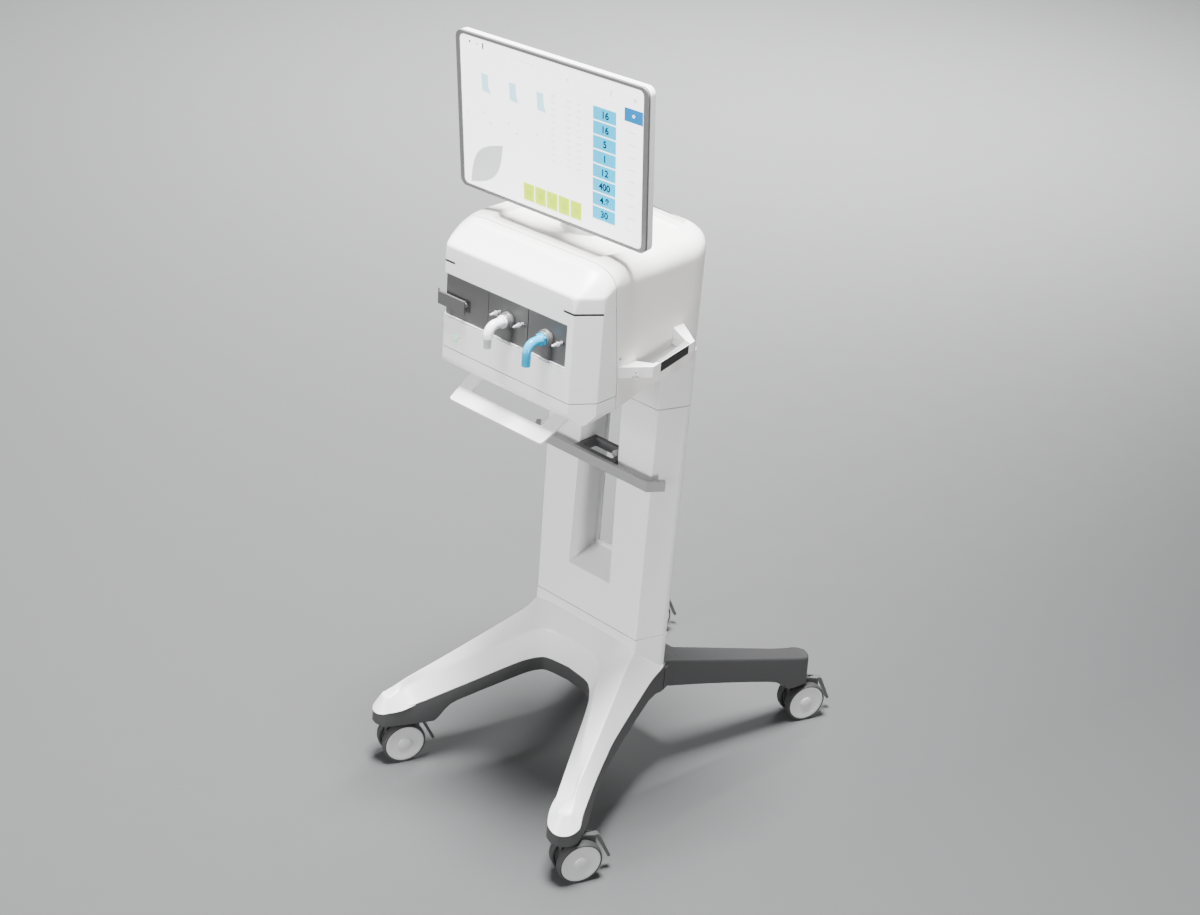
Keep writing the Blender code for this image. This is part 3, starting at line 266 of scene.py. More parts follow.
def prism_mesh(loops, axis, start, end, name="prism"):
    """Flat outlines (the first outside, the rest holes), made thick along an axis."""
    curve = bpy.data.curves.new(name, "CURVE")
    curve.dimensions = "2D"
    curve.fill_mode = "BOTH"
    curve.extrude = (end - start) / 2
    for loop in loops:
        spline = curve.splines.new("POLY")
        spline.points.add(len(loop) - 1)
        spline.use_cyclic_u = True
        for point, corner in zip(spline.points, loop):
            point.co = (corner[0], corner[1], 0.0, 1.0)
    flat = bpy.data.objects.new(name, curve)
    bpy.context.scene.collection.objects.link(flat)
    view = bpy.context.evaluated_depsgraph_get()
    mesh = bpy.data.meshes.new_from_object(flat.evaluated_get(view))
    bpy.data.objects.remove(flat, do_unlink=True)
    bpy.data.curves.remove(curve)
    order = {"X": (2, 0, 1), "Y": (0, 2, 1), "Z": (0, 1, 2)}[axis]
    bm = bmesh.new()
    bm.from_mesh(mesh)
    bpy.data.meshes.remove(mesh)
    for vert in bm.verts:
        local = (vert.co.x, vert.co.y, vert.co.z + (start + end) / 2)
        vert.co = Vector(local[i] for i in order)
    bmesh.ops.remove_doubles(bm, verts=bm.verts, dist=1e-5)
    bmesh.ops.dissolve_limit(bm, angle_limit=radians(0.5), verts=bm.verts, edges=bm.edges)
    return to_mesh(bm, name)


def loft_mesh(rings, name="loft", closed=False, smooth_angle=32.0):
    """Skin through rings with equal counts; closed joins the last ring to the first."""
    bm = bmesh.new()
    rows = [[bm.verts.new(point) for point in ring] for ring in rings]
    count = len(rings[0])
    pairs = list(zip(rows, rows[1:])) + ([(rows[-1], rows[0])] if closed else [])
    for row, next_row in pairs:
        for i in range(count):
            j = (i + 1) % count
            bm.faces.new((row[i], row[j], next_row[j], next_row[i]))
    if not closed:
        bm.faces.new(reversed(rows[0]))
        bm.faces.new(rows[-1])
    return to_mesh(bm, name, smooth_angle)


def lathe_mesh(profile, steps=48, name="turned"):
    """Surface of revolution about +Z through (radius, height) points; ends on the axis close."""
    bm = bmesh.new()
    rows = []
    for radius, height in profile:
        if radius == 0:
            rows.append([bm.verts.new((0, 0, height))])
        else:
            rows.append([bm.verts.new((radius * cos(a), radius * sin(a), height))
                         for a in (2 * pi * k / steps for k in range(steps))])
    joins = list(zip(rows, rows[1:]))
    if len(rows[0]) > 1:
        joins.append((rows[-1], rows[0]))
    for row, next_row in joins:
        for i in range(steps):
            j = (i + 1) % steps
            ring = [row[i % len(row)], row[j % len(row)], next_row[j % len(next_row)],
                    next_row[i % len(next_row)]]
            unique = list(dict.fromkeys(ring))
            if len(unique) > 2:
                bm.faces.new(unique)
    return to_mesh(bm, name, 40.0)


def turned_towards(mesh, direction, at=(0, 0, 0)):
    """Turn a mesh made along +Z so that +Z points along direction, and move it."""
    turn = Vector(direction).to_track_quat("Z", "Y").to_matrix().to_4x4()
    mesh.transform(Matrix.Translation(Vector(at)) @ turn)
    return mesh


def rod_mesh(start, end, radius, steps=24):
    start, end = Vector(start), Vector(end)
    length = (end - start).length
    return turned_towards(lathe_mesh([(0, 0), (radius, 0), (radius, length), (0, length)], steps),
                          end - start, start)


def mirror_mesh(mesh):
    """A copy mirrored across X = 0."""
    bm = bmesh.new()
    bm.from_mesh(mesh)
    bmesh.ops.scale(bm, vec=(-1, 1, 1), verts=bm.verts)
    bmesh.ops.reverse_faces(bm, faces=bm.faces)
    return to_mesh(bm, mesh.name)


def merged(*meshes):
    """Several meshes as one, without joining their solids."""
    bm = bmesh.new()
    for mesh in meshes:
        bm.from_mesh(mesh)
    return to_mesh(bm, meshes[0].name)


def boolean(mesh, operation, *tools):
    """The mesh after exact booleans with other closed meshes in the same space."""
    scene = bpy.context.scene.collection.objects
    base = bpy.data.objects.new("base", mesh)
    scene.link(base)
    made = [base]
    for tool_mesh in tools:
        tool = bpy.data.objects.new("tool", tool_mesh)
        scene.link(tool)
        made.append(tool)
        modifier = base.modifiers.new("boolean", "BOOLEAN")
        modifier.operation, modifier.solver, modifier.object = operation, "EXACT", tool
    view = bpy.context.evaluated_depsgraph_get()
    result = bpy.data.meshes.new_from_object(base.evaluated_get(view))
    for item in made:
        bpy.data.objects.remove(item, do_unlink=True)
    bm = bmesh.new()
    bm.from_mesh(result)
    bpy.data.meshes.remove(result)
    bmesh.ops.remove_doubles(bm, verts=bm.verts, dist=1e-5)
    bmesh.ops.dissolve_degenerate(bm, edges=bm.edges, dist=1e-5)
    return to_mesh(bm, mesh.name)


def cut(mesh, *tools):
    return boolean(mesh, "DIFFERENCE", *tools)


def join(mesh, *tools):
    return boolean(mesh, "UNION", *tools)


def keep(mesh, *tools):
    return boolean(mesh, "INTERSECT", *tools)


def piece(name, mesh, material, body, replaces=(), slot=None, bevel=0.0, segments=3, angle=35.0,
          location=None, rotation=(0, 0, 0), parent=None):
    """Show a mesh as a named piece that rides on a body and stands for its CAD nodes."""
    obj = bpy.data.objects.new(name, mesh)
    mesh.materials.clear()
    mesh.materials.append(material)
    bpy.context.scene.collection.objects.link(obj)
    if parent:
        obj.parent = parent
        obj.location = location or (0, 0, 0)
    else:
        obj.location = ORIGIN + Vector(location or (0, 0, 0))
    obj.rotation_euler = rotation
    if bevel:
        soften = obj.modifiers.new("edges", "BEVEL")
        soften.width, soften.segments = bevel, segments
        soften.limit_method, soften.angle_limit = "ANGLE", radians(angle)
        soften.harden_normals = True
        soften.use_clamp_overlap = True
    if not parent:
        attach(obj, body)
    if replaces:
        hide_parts(*([replaces] if isinstance(replaces, str) else replaces))
    return obj


# ---------------------------------------------------------------- trolley base
def legward(y):
    """Distance behind the leg section that the polynomials of the leg curves start from."""
    return y - LEG_SECTION_Y


def inner_low(y):
    return Vector((0.1212 - 0.5280 * legward(y), y, low_z(y)))


def outer_low(y):
    return Vector((0.2035 - 0.3570 * legward(y) + 0.5800 * legward(y) ** 2, y, low_z(y)))


def low_z(y):
    return 0.1965 + (0.3640 if y < LEG_SECTION_Y else 0.3840) * legward(y)


def inner_ridge(y):
    u = legward(y)
    return Vector((0.1407 - 0.6380 * u + 0.3600 * u * u, y, 0.2448 + 0.4985 * u - 0.6300 * u * u))


def outer_ridge(y):
    u = legward(y)
    return Vector((0.1831 - 0.4105 * u - 0.0700 * u * u, y, 0.2484 + 0.5000 * u + 0.1700 * u * u))


FRONT_SWIVEL = joint_point("front_right_caster_swivel")
REAR_SWIVEL = joint_point("rear_right_caster_swivel")
LEG_WAY, LEG_ACROSS = Vector((0.460, -0.888, 0.0)), Vector((0.888, 0.460, 0.0))


def tip_ring(angle, foot_radius, low, ridge_radius, high):
    """Section across the rounded tip of the right front leg, about the swivel axis."""
    centre = Vector((FRONT_SWIVEL.x, FRONT_SWIVEL.y, 0.0))
    reach, spread = sin(radians(angle)), cos(radians(angle))
    ring = []
    for side, radius, height in ((-1, foot_radius, low), (-1, ridge_radius, high),
                                 (1, ridge_radius, high), (1, foot_radius, low)):
        ring.append(centre + LEG_WAY * (radius * reach) + LEG_ACROSS * (side * radius * spread)
                    + Vector((0, 0, height)))
    return ring


def between(rings, steps):
    """Smooth (Catmull-Rom) rings in between the given ones."""
    result = []
    last = len(rings) - 1
    for i in range(last):
        a, b, c, d = (rings[max(0, min(last, k))] for k in (i - 1, i, i + 1, i + 2))
        for step in range(steps):
            t = step / steps
            result.append([0.5 * ((2 * q) + (r - p) * t + (2 * p - 5 * q + 4 * r - s) * t * t
                                  + (3 * q - p - 3 * r + s) * t ** 3)
                           for p, q, r, s in zip(a, b, c, d)])
    return result + [rings[-1]]


def eased(ring, radius, steps=5):
    """Round the two ridges of a four-point section with short parabolas."""
    low_in, ridge_in, ridge_out, low_out = ring
    points = [low_in]
    for before, corner, after in ((low_in, ridge_in, ridge_out), (ridge_in, ridge_out, low_out)):
        first = corner + (before - corner).normalized() * min(radius, (before - corner).length * 0.45)
        last = corner + (after - corner).normalized() * min(radius, (after - corner).length * 0.45)
        points += [first * (1 - t) ** 2 + corner * 2 * t * (1 - t) + last * t * t
                   for t in (k / steps for k in range(steps + 1))]
    return points + [low_out]


def both_sides(rings):
    """Rings for the whole width from those of the right half; the first is at X = 0."""
    left = [[Vector((-p.x, p.y, p.z)) for p in ring] for ring in reversed(rings[1:])]
    return left + rings


def column_outline(inset=0.0):
    return [(COLUMN_FACE_HALF - 0.6 * inset, COLUMN_FRONT + inset, 0.004),
            (COLUMN_HALF - inset, COLUMN_SHOULDER, 0.006),
            (COLUMN_HALF - inset, COLUMN_BACK - inset, 0.018 - 1.2 * inset)]


def make_base_cover():
    """White cover over both front legs and the foot of the column."""
    arch = (((0.0, -0.0610, 0.2314), (0.0, -0.0520, 0.2877), (0.0, -0.0225, 0.3265), (0.0, 0.05, 0.27)),
            ((0.0520, -0.0660, 0.2290), (0.0560, -0.0550, 0.2864), (0.0560, -0.0225, 0.3265),
             (0.0520, 0.05, 0.27)),
            ((0.0715, -0.0760, 0.2250), (0.0780, -0.0630, 0.2835), (0.0980, -0.0225, 0.3260),
             (0.1050, 0.05, 0.27)),
            ((0.0840, -0.0885, 0.2200), (0.0890, -0.0710, 0.2800), (0.1325, -0.0225, 0.3200),
             (0.1562, 0.045, 0.2713)),
            ((0.0943, -0.1020, 0.2149), (0.1020, -0.0890, 0.2730), (0.1412, -0.0500, 0.3000),
             (0.1655, -0.005, 0.2522)))
    rings = [[Vector(point) for point in ring] for ring in arch]
    rings += [[inner_low(y), inner_ridge(y), outer_ridge(y), outer_low(y)]
              for y in (-0.1300, -0.1800, -0.2300, -0.2800)]
    rings.append([inner_low(-0.3150) - LEG_ACROSS * 0.0035, Vector((0.2335, -0.3060, 0.1625)),
                  Vector((0.2475, -0.2990, 0.1705)), outer_low(-0.2970)])
    rings += [tip_ring(angle, 0.0318, 0.1330 - 0.0105 * sin(radians(angle)), 0.0130, 0.1575)
              for angle in (10.0, 35.0, 60.0, 80.0, 89.0)]
    skirt = loft_mesh([eased(ring, 0.0045) for ring in both_sides(between(rings, 5))], smooth_angle=40.0)
    foot = prism_mesh([rounded(mirrored(column_outline(-0.0008)))], "Z", 0.2400, COLUMN_FOOT - 0.0008)
    edge = [(-0.20, low_z(-0.2)), (-0.15, low_z(-0.15)), (0.10, low_z(0.10)), (0.10, 0.0), (-0.20, 0.0)]
    cover = join(skirt, cut(foot, prism_mesh([edge], "X", -0.3, 0.3)))
    piece("base_cover_shell", cover, WHITE, "trolley", "base_cover", "white_shell", bevel=0.0010, segments=2)


def make_base_frame():
    """Dark frame: front and rear legs on a cross body, with the pads over the casters."""
    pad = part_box("base_frame")[0].z

    def front_ring(y, bottom):
        top = low_z(y) - 0.0004
        return [Vector((inner_low(y).x - 0.0030, y, bottom)), Vector((inner_low(y).x - 0.0014, y, top)),
                Vector((outer_low(y).x - 0.0012, y, top)), Vector((outer_low(y).x + 0.0035, y, bottom))]

    def arch_ring(x, y, back_x, back_y):
        return [Vector((x, y, low_z(y) - 0.0320)), Vector((x, y - 0.0008, low_z(y) - 0.0004)),
                Vector((back_x, back_y, low_z(back_y) - 0.0004)), Vector((back_x, back_y, 0.2080))]

    rings = [arch_ring(0.0, -0.0600, 0.0, 0.05), arch_ring(0.0540, -0.0648, 0.06, 0.05),
             arch_ring(0.0720, -0.0750, 0.12, 0.05), arch_ring(0.0830, -0.0870, 0.1580, 0.05),
             arch_ring(0.0925, -0.1010, 0.1640, 0.0)]
    rings += [front_ring(y, bottom) for y, bottom in
              ((-0.1500, 0.1665), (-0.1900, 0.1520), (-0.2300, 0.1350), (-0.2540, 0.1040), (-0.2700, pad))]
    rings += [tip_ring(angle, 0.0325, pad, 0.0312, 0.1330 - 0.0108 * sin(radians(angle)))
              for angle in (0.0, 30.0, 60.0, 80.0, 89.0)]
    front = loft_mesh([eased([r[0], r[1], r[2], r[3]], 0.0006, 2) for r in both_sides(between(rings, 3))])

    def rear_ring(y, bottom):
        inner, outer = 0.1010 + 0.3220 * (y - 0.128), 0.1510 + 0.2640 * (y - 0.060)
        top = 0.2700 - 0.2980 * (y - 0.060)
        return [Vector((inner - 0.003, y, bottom)), Vector((inner, y, top)), Vector((outer, y, top)),
                Vector((outer + 0.004, y, bottom))]

    rear = [rear_ring(y, bottom) for y, bottom in
            ((0.0560, 0.2120), (0.1500, 0.1870), (0.2500, 0.1580), (0.3500, 0.1250), (0.3800, pad))]
    for angle in (5.0, 35.0, 60.0, 80.0, 89.0):
        reach, spread = 0.0290 * sin(radians(angle)), cos(radians(angle))
        y, top = REAR_SWIVEL.y + reach, 0.1640 - 0.15 * reach
        rear.append([Vector((REAR_SWIVEL.x + side * half * spread, y, height)) for side, half, height in
                     ((-1, 0.0300, pad), (-1, 0.0275, top), (1, 0.0275, top), (1, 0.0310, pad))])
    leg = loft_mesh([eased(ring, 0.0060) for ring in between(rear, 3)], smooth_angle=40.0)
    bridge = [(0.1590, 0.0500, 0.0), (0.1480, 0.0900, 0.0), (0.1180, 0.1330, 0.020)]
    middle = prism_mesh([rounded(mirrored(bridge))], "Z", 0.2080, 0.2600)
    slope = [(0.03, 0.2790), (0.16, 0.2402), (0.16, 0.30), (0.03, 0.30)]
    middle = cut(middle, prism_mesh([slope], "X", -0.3, 0.3))
    body = join(front, leg, mirror_mesh(leg), middle)
    pocket = rounded([(-0.1150, -0.0250, 0.02), (-0.1150, 0.1050, 0.02), (0.1150, 0.1050, 0.02),
                      (0.1150, -0.0250, 0.02)])
    body = cut(body, prism_mesh([pocket], "Z", 0.15, 0.2300))
    piece("base_frame_casting", body, CHARCOAL, "trolley", "base_frame", "frame_grey", bevel=0.0022,
          angle=38.0)


# ---------------------------------------------------------------- casters
def make_caster(corner):
    """Twin-wheel caster: hooded housing, tyres, hub discs and the brake pedal."""
    swivel = joint_point(f"{corner}_caster_swivel")
    wheel = joint_point(f"{corner}_outer_wheel_roll")
    pivot = joint_point(f"{corner}_brake_press")
    axle = Vector(JOINTS[f"{corner}_outer_wheel_roll"]["axis"])
    yaw = atan2(axle.y, axle.x)
    base = Vector((swivel.x, swivel.y, 0.0))
    trail = (Vector((wheel.x, wheel.y, 0)) - base).length
    radius = wheel.z
    body = f"{corner}_caster"

    fairing = rounded([(-0.0060, 0.0300, 0.010), (-0.0060, 0.0950, 0.0), (0.0400, 0.0950, 0.010),
                       (0.0620, 0.0890, 0.008), (0.0660, 0.0500, 0.014), (0.0400, 0.0140, 0.018)])
    housing = prism_mesh([fairing], "X", -0.0078, 0.0078)
    housing = join(housing, lathe_mesh([(0, 0.0920), (0.0205, 0.0920), (0.0205, 0.0980), (0, 0.0980)], 40),
                   rod_mesh((0, 0, 0.09), (0, 0, 0.116), 0.0060),
                   rod_mesh((-0.0210, trail, radius), (0.0210, trail, radius), 0.0040))
    housing = cut(housing, box_mesh((-0.0060, 0.0420, 0.0720), (0.0060, 0.0800, 0.1000)))
    piece(f"{corner}_caster_fork", housing, CHARCOAL, body, f"{corner}_caster_housing", "frame_grey",
          bevel=0.0010, location=base, rotation=(0, 0, yaw))

    inner, outer = 0.0088, 0.0280
    tread = [(0.0395, outer - 0.0030), (0.0404, outer - 0.0008), (0.0420, outer - 0.0004),
             (0.0436, outer - 0.0020),
             (0.0446, outer - 0.0048), (radius, outer - 0.0075), (radius, inner + 0.0065),
             (0.0446, inner + 0.0030), (0.0434, inner + 0.0008), (0.0415, inner), (0.0380, inner + 0.0004),
             (0.0370, inner + 0.0020)]
    disc = [(0.0, outer + 0.0002), (0.0105, outer), (0.0122, outer - 0.0006), (0.0132, outer - 0.0024),
            (0.0160, outer - 0.0028), (0.0330, outer - 0.0018), (0.0385, outer - 0.0008),
            (0.0396, outer - 0.0012),
            (0.0398, outer - 0.0032), (0.0378, inner + 0.0012), (0.0340, inner + 0.0016),
            (0.0300, inner + 0.0050),
            (0.0120, inner + 0.0050), (0.0100, inner + 0.0006), (0.0050, inner + 0.0004),
            (0.0050, inner + 0.0100),
            (0.0, inner + 0.0100)]
    for side, sign in (("outer", 1), ("inner", -1)):
        node = f"{corner}_caster_{side}_wheel"
        turn = Matrix.Rotation(yaw, 4, "Z") @ Matrix.Rotation(sign * pi / 2, 4, "Y")
        at = base + Vector((-sin(yaw) * trail, cos(yaw) * trail, radius))
        for part, profile, material, stands in (("tyre", tread, TYRE, node), ("disc", disc, HUB, ())):
            mesh = lathe_mesh(profile, 64)
            mesh.transform(turn)
            piece(f"{corner}_{side}_{part}", mesh, material, f"{corner}_{side}_wheel", stands,
                  "wheel", location=at)

    outline = rounded([(-0.0050, -0.0035, 0.003), (-0.0040, 0.0045, 0.003), (0.0210, 0.0045, 0.008),
                       (0.0490, -0.0550, 0.0012), (0.0440, -0.0580, 0.0012), (0.0170, -0.0030, 0.006),
                       (0.0060, -0.0045, 0.003)])
    pedal = join(prism_mesh([outline], "X", -0.0056, 0.0056),
                 rod_mesh((-0.0066, 0, 0), (0.0066, 0, 0), 0.0020))
    piece(f"{corner}_pedal", pedal, PEDAL, f"{corner}_brake_pedal", f"{corner}_caster_brake_pedal",
          "light_grey",
          bevel=0.0008, location=base + Vector((pivot.x - base.x, pivot.y - base.y, pivot.z)),
          rotation=(0, 0, yaw))


# ---------------------------------------------------------------- column and rail
def make_column():
    """Column with its tapered window, and the neck between it and the unit."""
    outline = [rounded(mirrored(column_outline()))]
    sill = [(COLUMN_FRONT - 0.02, 0.4326), (COLUMN_BACK + 0.02, 0.4674), (COLUMN_BACK + 0.02, 0.8400),
            (COLUMN_FRONT - 0.02, 0.8400)]
    taper = []
    for z in (0.4000, 0.8400):
        half = 0.0492 + 0.0212 * (0.70 - z)
        taper.append([Vector((x, y, z)) for x, y in ((-half, COLUMN_FRONT - 0.02),
                                                     (half, COLUMN_FRONT - 0.02),
                                                     (half, COLUMN_BACK - 0.007),
                                                     (-half, COLUMN_BACK - 0.007))])
    through = [(y, z + (0.006 if z < 0.6 else -0.008)) for y, z in sill]
    column = cut(prism_mesh(outline, "Z", COLUMN_FOOT, COLUMN_SEAM - 0.0006),
                 keep(loft_mesh(taper), prism_mesh([sill], "X", -0.1, 0.1)),
                 prism_mesh([through], "X", -0.0430, 0.0430))
    piece("column_upright", column, WHITE, "trolley", "column_shell", "white_shell", bevel=0.0020)
    neck = prism_mesh(outline, "Z", COLUMN_SEAM + 0.0006, 1.0)
    above = [(-0.06, underside_z(-0.06) - 0.0004), (0.10, underside_z(0.10) - 0.0004), (0.10, 1.2),
             (-0.06, 1.2)]
    piece("column_neck_shell", cut(neck, prism_mesh([above], "X", -0.3, 0.3)), WHITE, "trolley",
          "column_neck", "white_shell", bevel=0.0012)


def make_rail():
    """Accessory rail with angled ends, its bracket in the window and the knob that locks it."""
    low, high = local_box("accessory_rail")
    corner, end = Vector((0.1462, low.y)), Vector((0.1672, -0.0205))
    run = (end - corner).normalized()
    back = Vector((-run.y, run.x)) * 0.0095
    half = [corner, end, end + back, Vector((corner.x - 0.0050, corner.y + 0.0095))]
    outline = half + [Vector((-p.x, p.y)) for p in reversed(half)]
    piece("rail_bar", prism_mesh([outline], "Z", low.z, high.z), RAIL, "trolley", "accessory_rail",
          "rail_grey", bevel=0.0009)
    low, high = local_box("rail_bracket")
    hole = rectangle(-0.0380, -0.0280, 0.0380, 0.0120, 0.004)
    bracket = prism_mesh([[(low.x, low.y), (high.x, low.y), (high.x, high.y), (low.x, high.y)], hole],
                         "Z", low.z, high.z)
    knob = joint_point("rail_lock_turn")
    bracket = cut(bracket, rod_mesh((knob.x, 0.005, knob.z), (knob.x, 0.03, knob.z), 0.0033))
    piece("rail_bracket_frame", bracket, BRACKET, "trolley", "rail_bracket", "frame_grey", bevel=0.0008)
    grip = [(0.0, 0.0), (0.0056, 0.0), (0.0070, -0.0010), (0.0072, -0.0022), (0.0072, -0.0098),
            (0.0066, -0.0112), (0.0028, -0.0114), (0.0028, -0.0260), (0.0, -0.0260)]
    mesh = turned_towards(lathe_mesh(grip, 40), (0, -1, 0))
    flutes = [rod_mesh((0.0082 * cos(a), -0.001, 0.0082 * sin(a)),
                       (0.0082 * cos(a), 0.013, 0.0082 * sin(a)), 0.0018, 12)
              for a in (2 * pi * k / 8 for k in range(8))]
    piece("rail_knob", cut(mesh, *flutes), GREY, "rail_lock_knob", "rail_lock_knob", "light_grey",
          location=(knob.x, 0.0005, knob.z))


# ---------------------------------------------------------------- main unit
def underside_z(y):
    return 0.9400 + (0.2600 if y < -0.13 else 0.0950) * (y + 0.13)


def polyline_y(points, z):
    """Y on a line of (Y, Z) points that rises in Z."""
    for (y0, z0), (y1, z1) in zip(points, points[1:]):
        if z <= z1:
            return y0 + (y1 - y0) * (z - z0) / max(z1 - z0, 1e-9)
    return points[-1][0]


def fading(z, start, end):
    t = min(max((z - start) / (end - start), 0.0), 1.0)
    return t * t * (3 - 2 * t)


def unit_solid(inset=0.0, top=UNIT_TOP):
    """The unit's outer form or its cavity: plan sections with a crowned top, then its underside."""
    front, rear, half = UNIT_FRONT + inset, UNIT_REAR - inset, UNIT_HALF - inset
    top, crown, rear_crown = top - inset, 0.036 - inset, 0.022 - inset
    brow = rounded([(front, 0.80, 0.0), (front, 1.1390, 0.009), (-0.2480 + 0.6 * inset, top - 0.0080, 0.020),
                    (-0.1980, top, 0.0)], 8)
    levels = [0.85, 1.09, 1.105, 1.115, 1.124] + [z for _, z in brow if z > 1.13]
    levels += [top - crown * (1 - sin(radians(6.0 * k))) for k in range(16)]
    levels = sorted(levels)
    levels = [z for i, z in enumerate(levels) if i == len(levels) - 1 or levels[i + 1] - z > 0.0002]
    rings = []
    for z in levels:
        drop = max(z - (top - crown), 0.0)
        side = crown - (max(crown ** 2 - drop ** 2, 0.0)) ** 0.5
        drop = max(z - (top - rear_crown), 0.0)
        back = rear_crown - (max(rear_crown ** 2 - drop ** 2, 0.0)) ** 0.5
        y = polyline_y(brow, z)
        soft = 0.0035 + 0.0400 * fading(z, 1.108, 1.172)
        corner = mirrored([(UNIT_FACE_HALF - 0.5 * inset - side, y, soft),
                           (half - side, y + UNIT_SHOULDER - UNIT_FRONT, soft * 1.1),
                           (half - side, rear - back, 0.082 - inset - 0.6 * side)])
        rings.append([Vector((x, v,
                              z + (0.0 if inset else TOP_RISE * max(v - RISE_START, 0.0) * fading(z, 1.11, 1.17))))
                      for x, v in rounded(corner, 9)])
    lift = 1.03 * inset
    below = [(front, 0.9230 + 0.4 * inset, 0.016), (front, 1.30, 0.0), (rear, 1.30, 0.0),
             (rear, underside_z(UNIT_REAR) + lift, 0.012), (-0.1300, underside_z(-0.13) + lift, 0.030),
             (-0.2680 + 0.5 * inset, underside_z(-0.268) + lift, 0.022)]
    belly = mirrored([(0.1580 - inset, 0.8850 + inset, 0.0), (half, 0.9240 + inset, 0.016),
                      (half, 1.30, 0.0)])
    return keep(loft_mesh(rings, smooth_angle=20.0), prism_mesh([rounded(below, 10)], "X", -0.25, 0.25),
                prism_mesh([rounded(belly, 6)], "Y", -0.36, 0.11))


def tray_outline(grow, front):
    """Plan of the tray in the top: bowed sides and back, with the front edge at its own place."""
    half = [(0.1240 + grow, front, 0.020), (0.1400 + grow, -0.1300, 0.080),
            (0.1180 + grow, 0.0285 + grow, 0.024)]
    corners = [(-x, y, radius) for x, y, radius in half[:1]] + half + [(0.0, 0.0425 + grow, 0.300)]
    return rounded(corners + [(-x, y, radius) for x, y, radius in half[:0:-1]], 8)


def recess_mesh():
    """Cutter for the tray in the top: a flat floor with steep banks, easing out at the front."""
    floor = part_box("display_foot")[0].z - 0.0003
    depth, rings = UNIT_TOP - floor, []
    for k in range(9):
        t = k / 8
        rise = depth * (1 - cos(pi * t)) / 2
        rings.append([Vector((x, y, floor + rise + (0.0004 if k == 8 else 0.0)))
                      for x, y in tray_outline(0.0045 * (t - 1), -0.1980 - 0.0300 * t)])
    rings.append([Vector((p.x, p.y, 1.25)) for p in rings[-1]])
    return loft_mesh(rings)


def tray_painted_shade_mesh():
    """Thin near-black strip along the bowed back edge of the tray: painted shade for the shadow line at the step.
    """
    rings = []
    for k in range(33):
        x = 0.1120 * (k / 16 - 1)
        y, z = 0.0438 - 1.05 * x * x, UNIT_TOP + TOP_RISE * 0.2400
        rings.append([Vector((x, y - 0.0009, z - 0.0020)), Vector((x, y - 0.0009, z + 0.0001)),
                      Vector((x, y + 0.0006, z + 0.0002)), Vector((x, y + 0.0006, z - 0.0020))])
    return loft_mesh(rings)


def make_unit():
    """Front cover, lower front cover and rear shell, parted along a line that leans to the rear."""
    outer, cavity = unit_solid(), unit_solid(0.003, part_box("display_foot")[0].z - 0.0003)
    recess = recess_mesh()
    seam = [(SEAM_Y, 1.30), (SEAM_Y, 1.150), (SEAM_Y + 0.0210, 0.979), (SEAM_Y + 0.0290, 0.80)]

    def zone(shift, side, low=0.80, high=1.30):
        outline = [(y + shift, z) for y, z in seam] + [(side, 0.80), (side, 1.30)]
        return keep(prism_mesh([outline], "X", -0.4, 0.4), box_mesh((-0.5, -1.0, low), (0.5, 1.0, high)))

    front = cut(keep(outer.copy(), zone(-SEAM_HALF, -0.5, low=SEAM_Z + SEAM_HALF)), cavity.copy(),
                recess.copy(),
                box_mesh((-0.1900, -0.32, PANEL_LOW), (0.1412, -0.2500, PANEL_HIGH)),
                rod_mesh((BUTTON.x, -0.31, BUTTON.z), (BUTTON.x, -0.27, BUTTON.z), 0.0082, 40),
                *(alarm_mesh(side, 0.0020, 0.0028, ALARM_HALF_HEIGHT + 0.0001) for side in (1, -1)),
                *groove_meshes(ALARM_HEIGHT, False), *groove_meshes(LOW_GROOVE_HEIGHT, True))
    piece("front_cover_shell", front, WHITE, "trolley", "front_cover", "white_shell", bevel=0.0006,
          segments=2)
    lower = cut(keep(outer.copy(), zone(-SEAM_HALF, -0.5, high=SEAM_Z - SEAM_HALF)), cavity.copy())
    piece("lower_cover_shell", lower, WHITE, "trolley", "lower_front_cover", "white_shell", bevel=0.0006,
          segments=2)
    rear = cut(keep(outer, zone(0.0006, 0.5)), cavity, recess,
               box_mesh((-0.0950, 0.0300, 0.9900), (0.0950, 0.1000, 1.1250)))
    piece("rear_cover_shell", rear, WARM_WHITE, "trolley", "rear_shell", "white_shell", bevel=0.0008,
          segments=2)
    # Painted shade: a thin near-black strip stands for the shadow line at the foot of the tray's back bank.
    piece("painted_tray_shade", tray_painted_shade_mesh(), DARK_LINE, "trolley")
    piece("side_plug", turned_towards(lathe_mesh([(0, 0.0008), (0.0022, 0.0008), (0.0028, 0.0002),
                                                  (0.0028, -0.0015),
                                                  (0, -0.0015)], 24), (1, 0, 0),
                                                  (UNIT_HALF, -0.2000, 1.0170)),
          NYLON, "trolley")
    for name, material in (("chassis", STEEL), ("blower", CHARCOAL), ("battery_pack", BLACK),
                           ("control_board", BOARD)):
        frame["nodes"][name].data.materials.clear()
        frame["nodes"][name].data.materials.append(material)


def groove_meshes(height, chamfer):
    """Fine V grooves round both sides of the front cover, with or without the slanted corner."""
    tools = []
    for side in (1, -1):
        start = Vector((UNIT_HALF, UNIT_SHOULDER + 0.004))
        points = [start, Vector((UNIT_HALF, -0.15))]
        if chamfer:
            points = [Vector((UNIT_FACE_HALF, UNIT_FRONT)), Vector((UNIT_HALF, UNIT_SHOULDER)), points[1]]
        for first, last in zip(points, points[1:]):
            run = (last - first).normalized()
            out = Vector((run.y, -run.x))
            rings = []
            for end in (first - run * 0.0006, last + run * 0.0006):
                rings.append([Vector((*(end - out * 0.0006), height)),
                              Vector((*(end + out * 0.0010), height + 0.0010)),
                              Vector((*(end + out * 0.0010), height - 0.0010))])
            mesh = loft_mesh(rings)
            tools.append(mesh if side > 0 else mirror_mesh(mesh))
    return tools


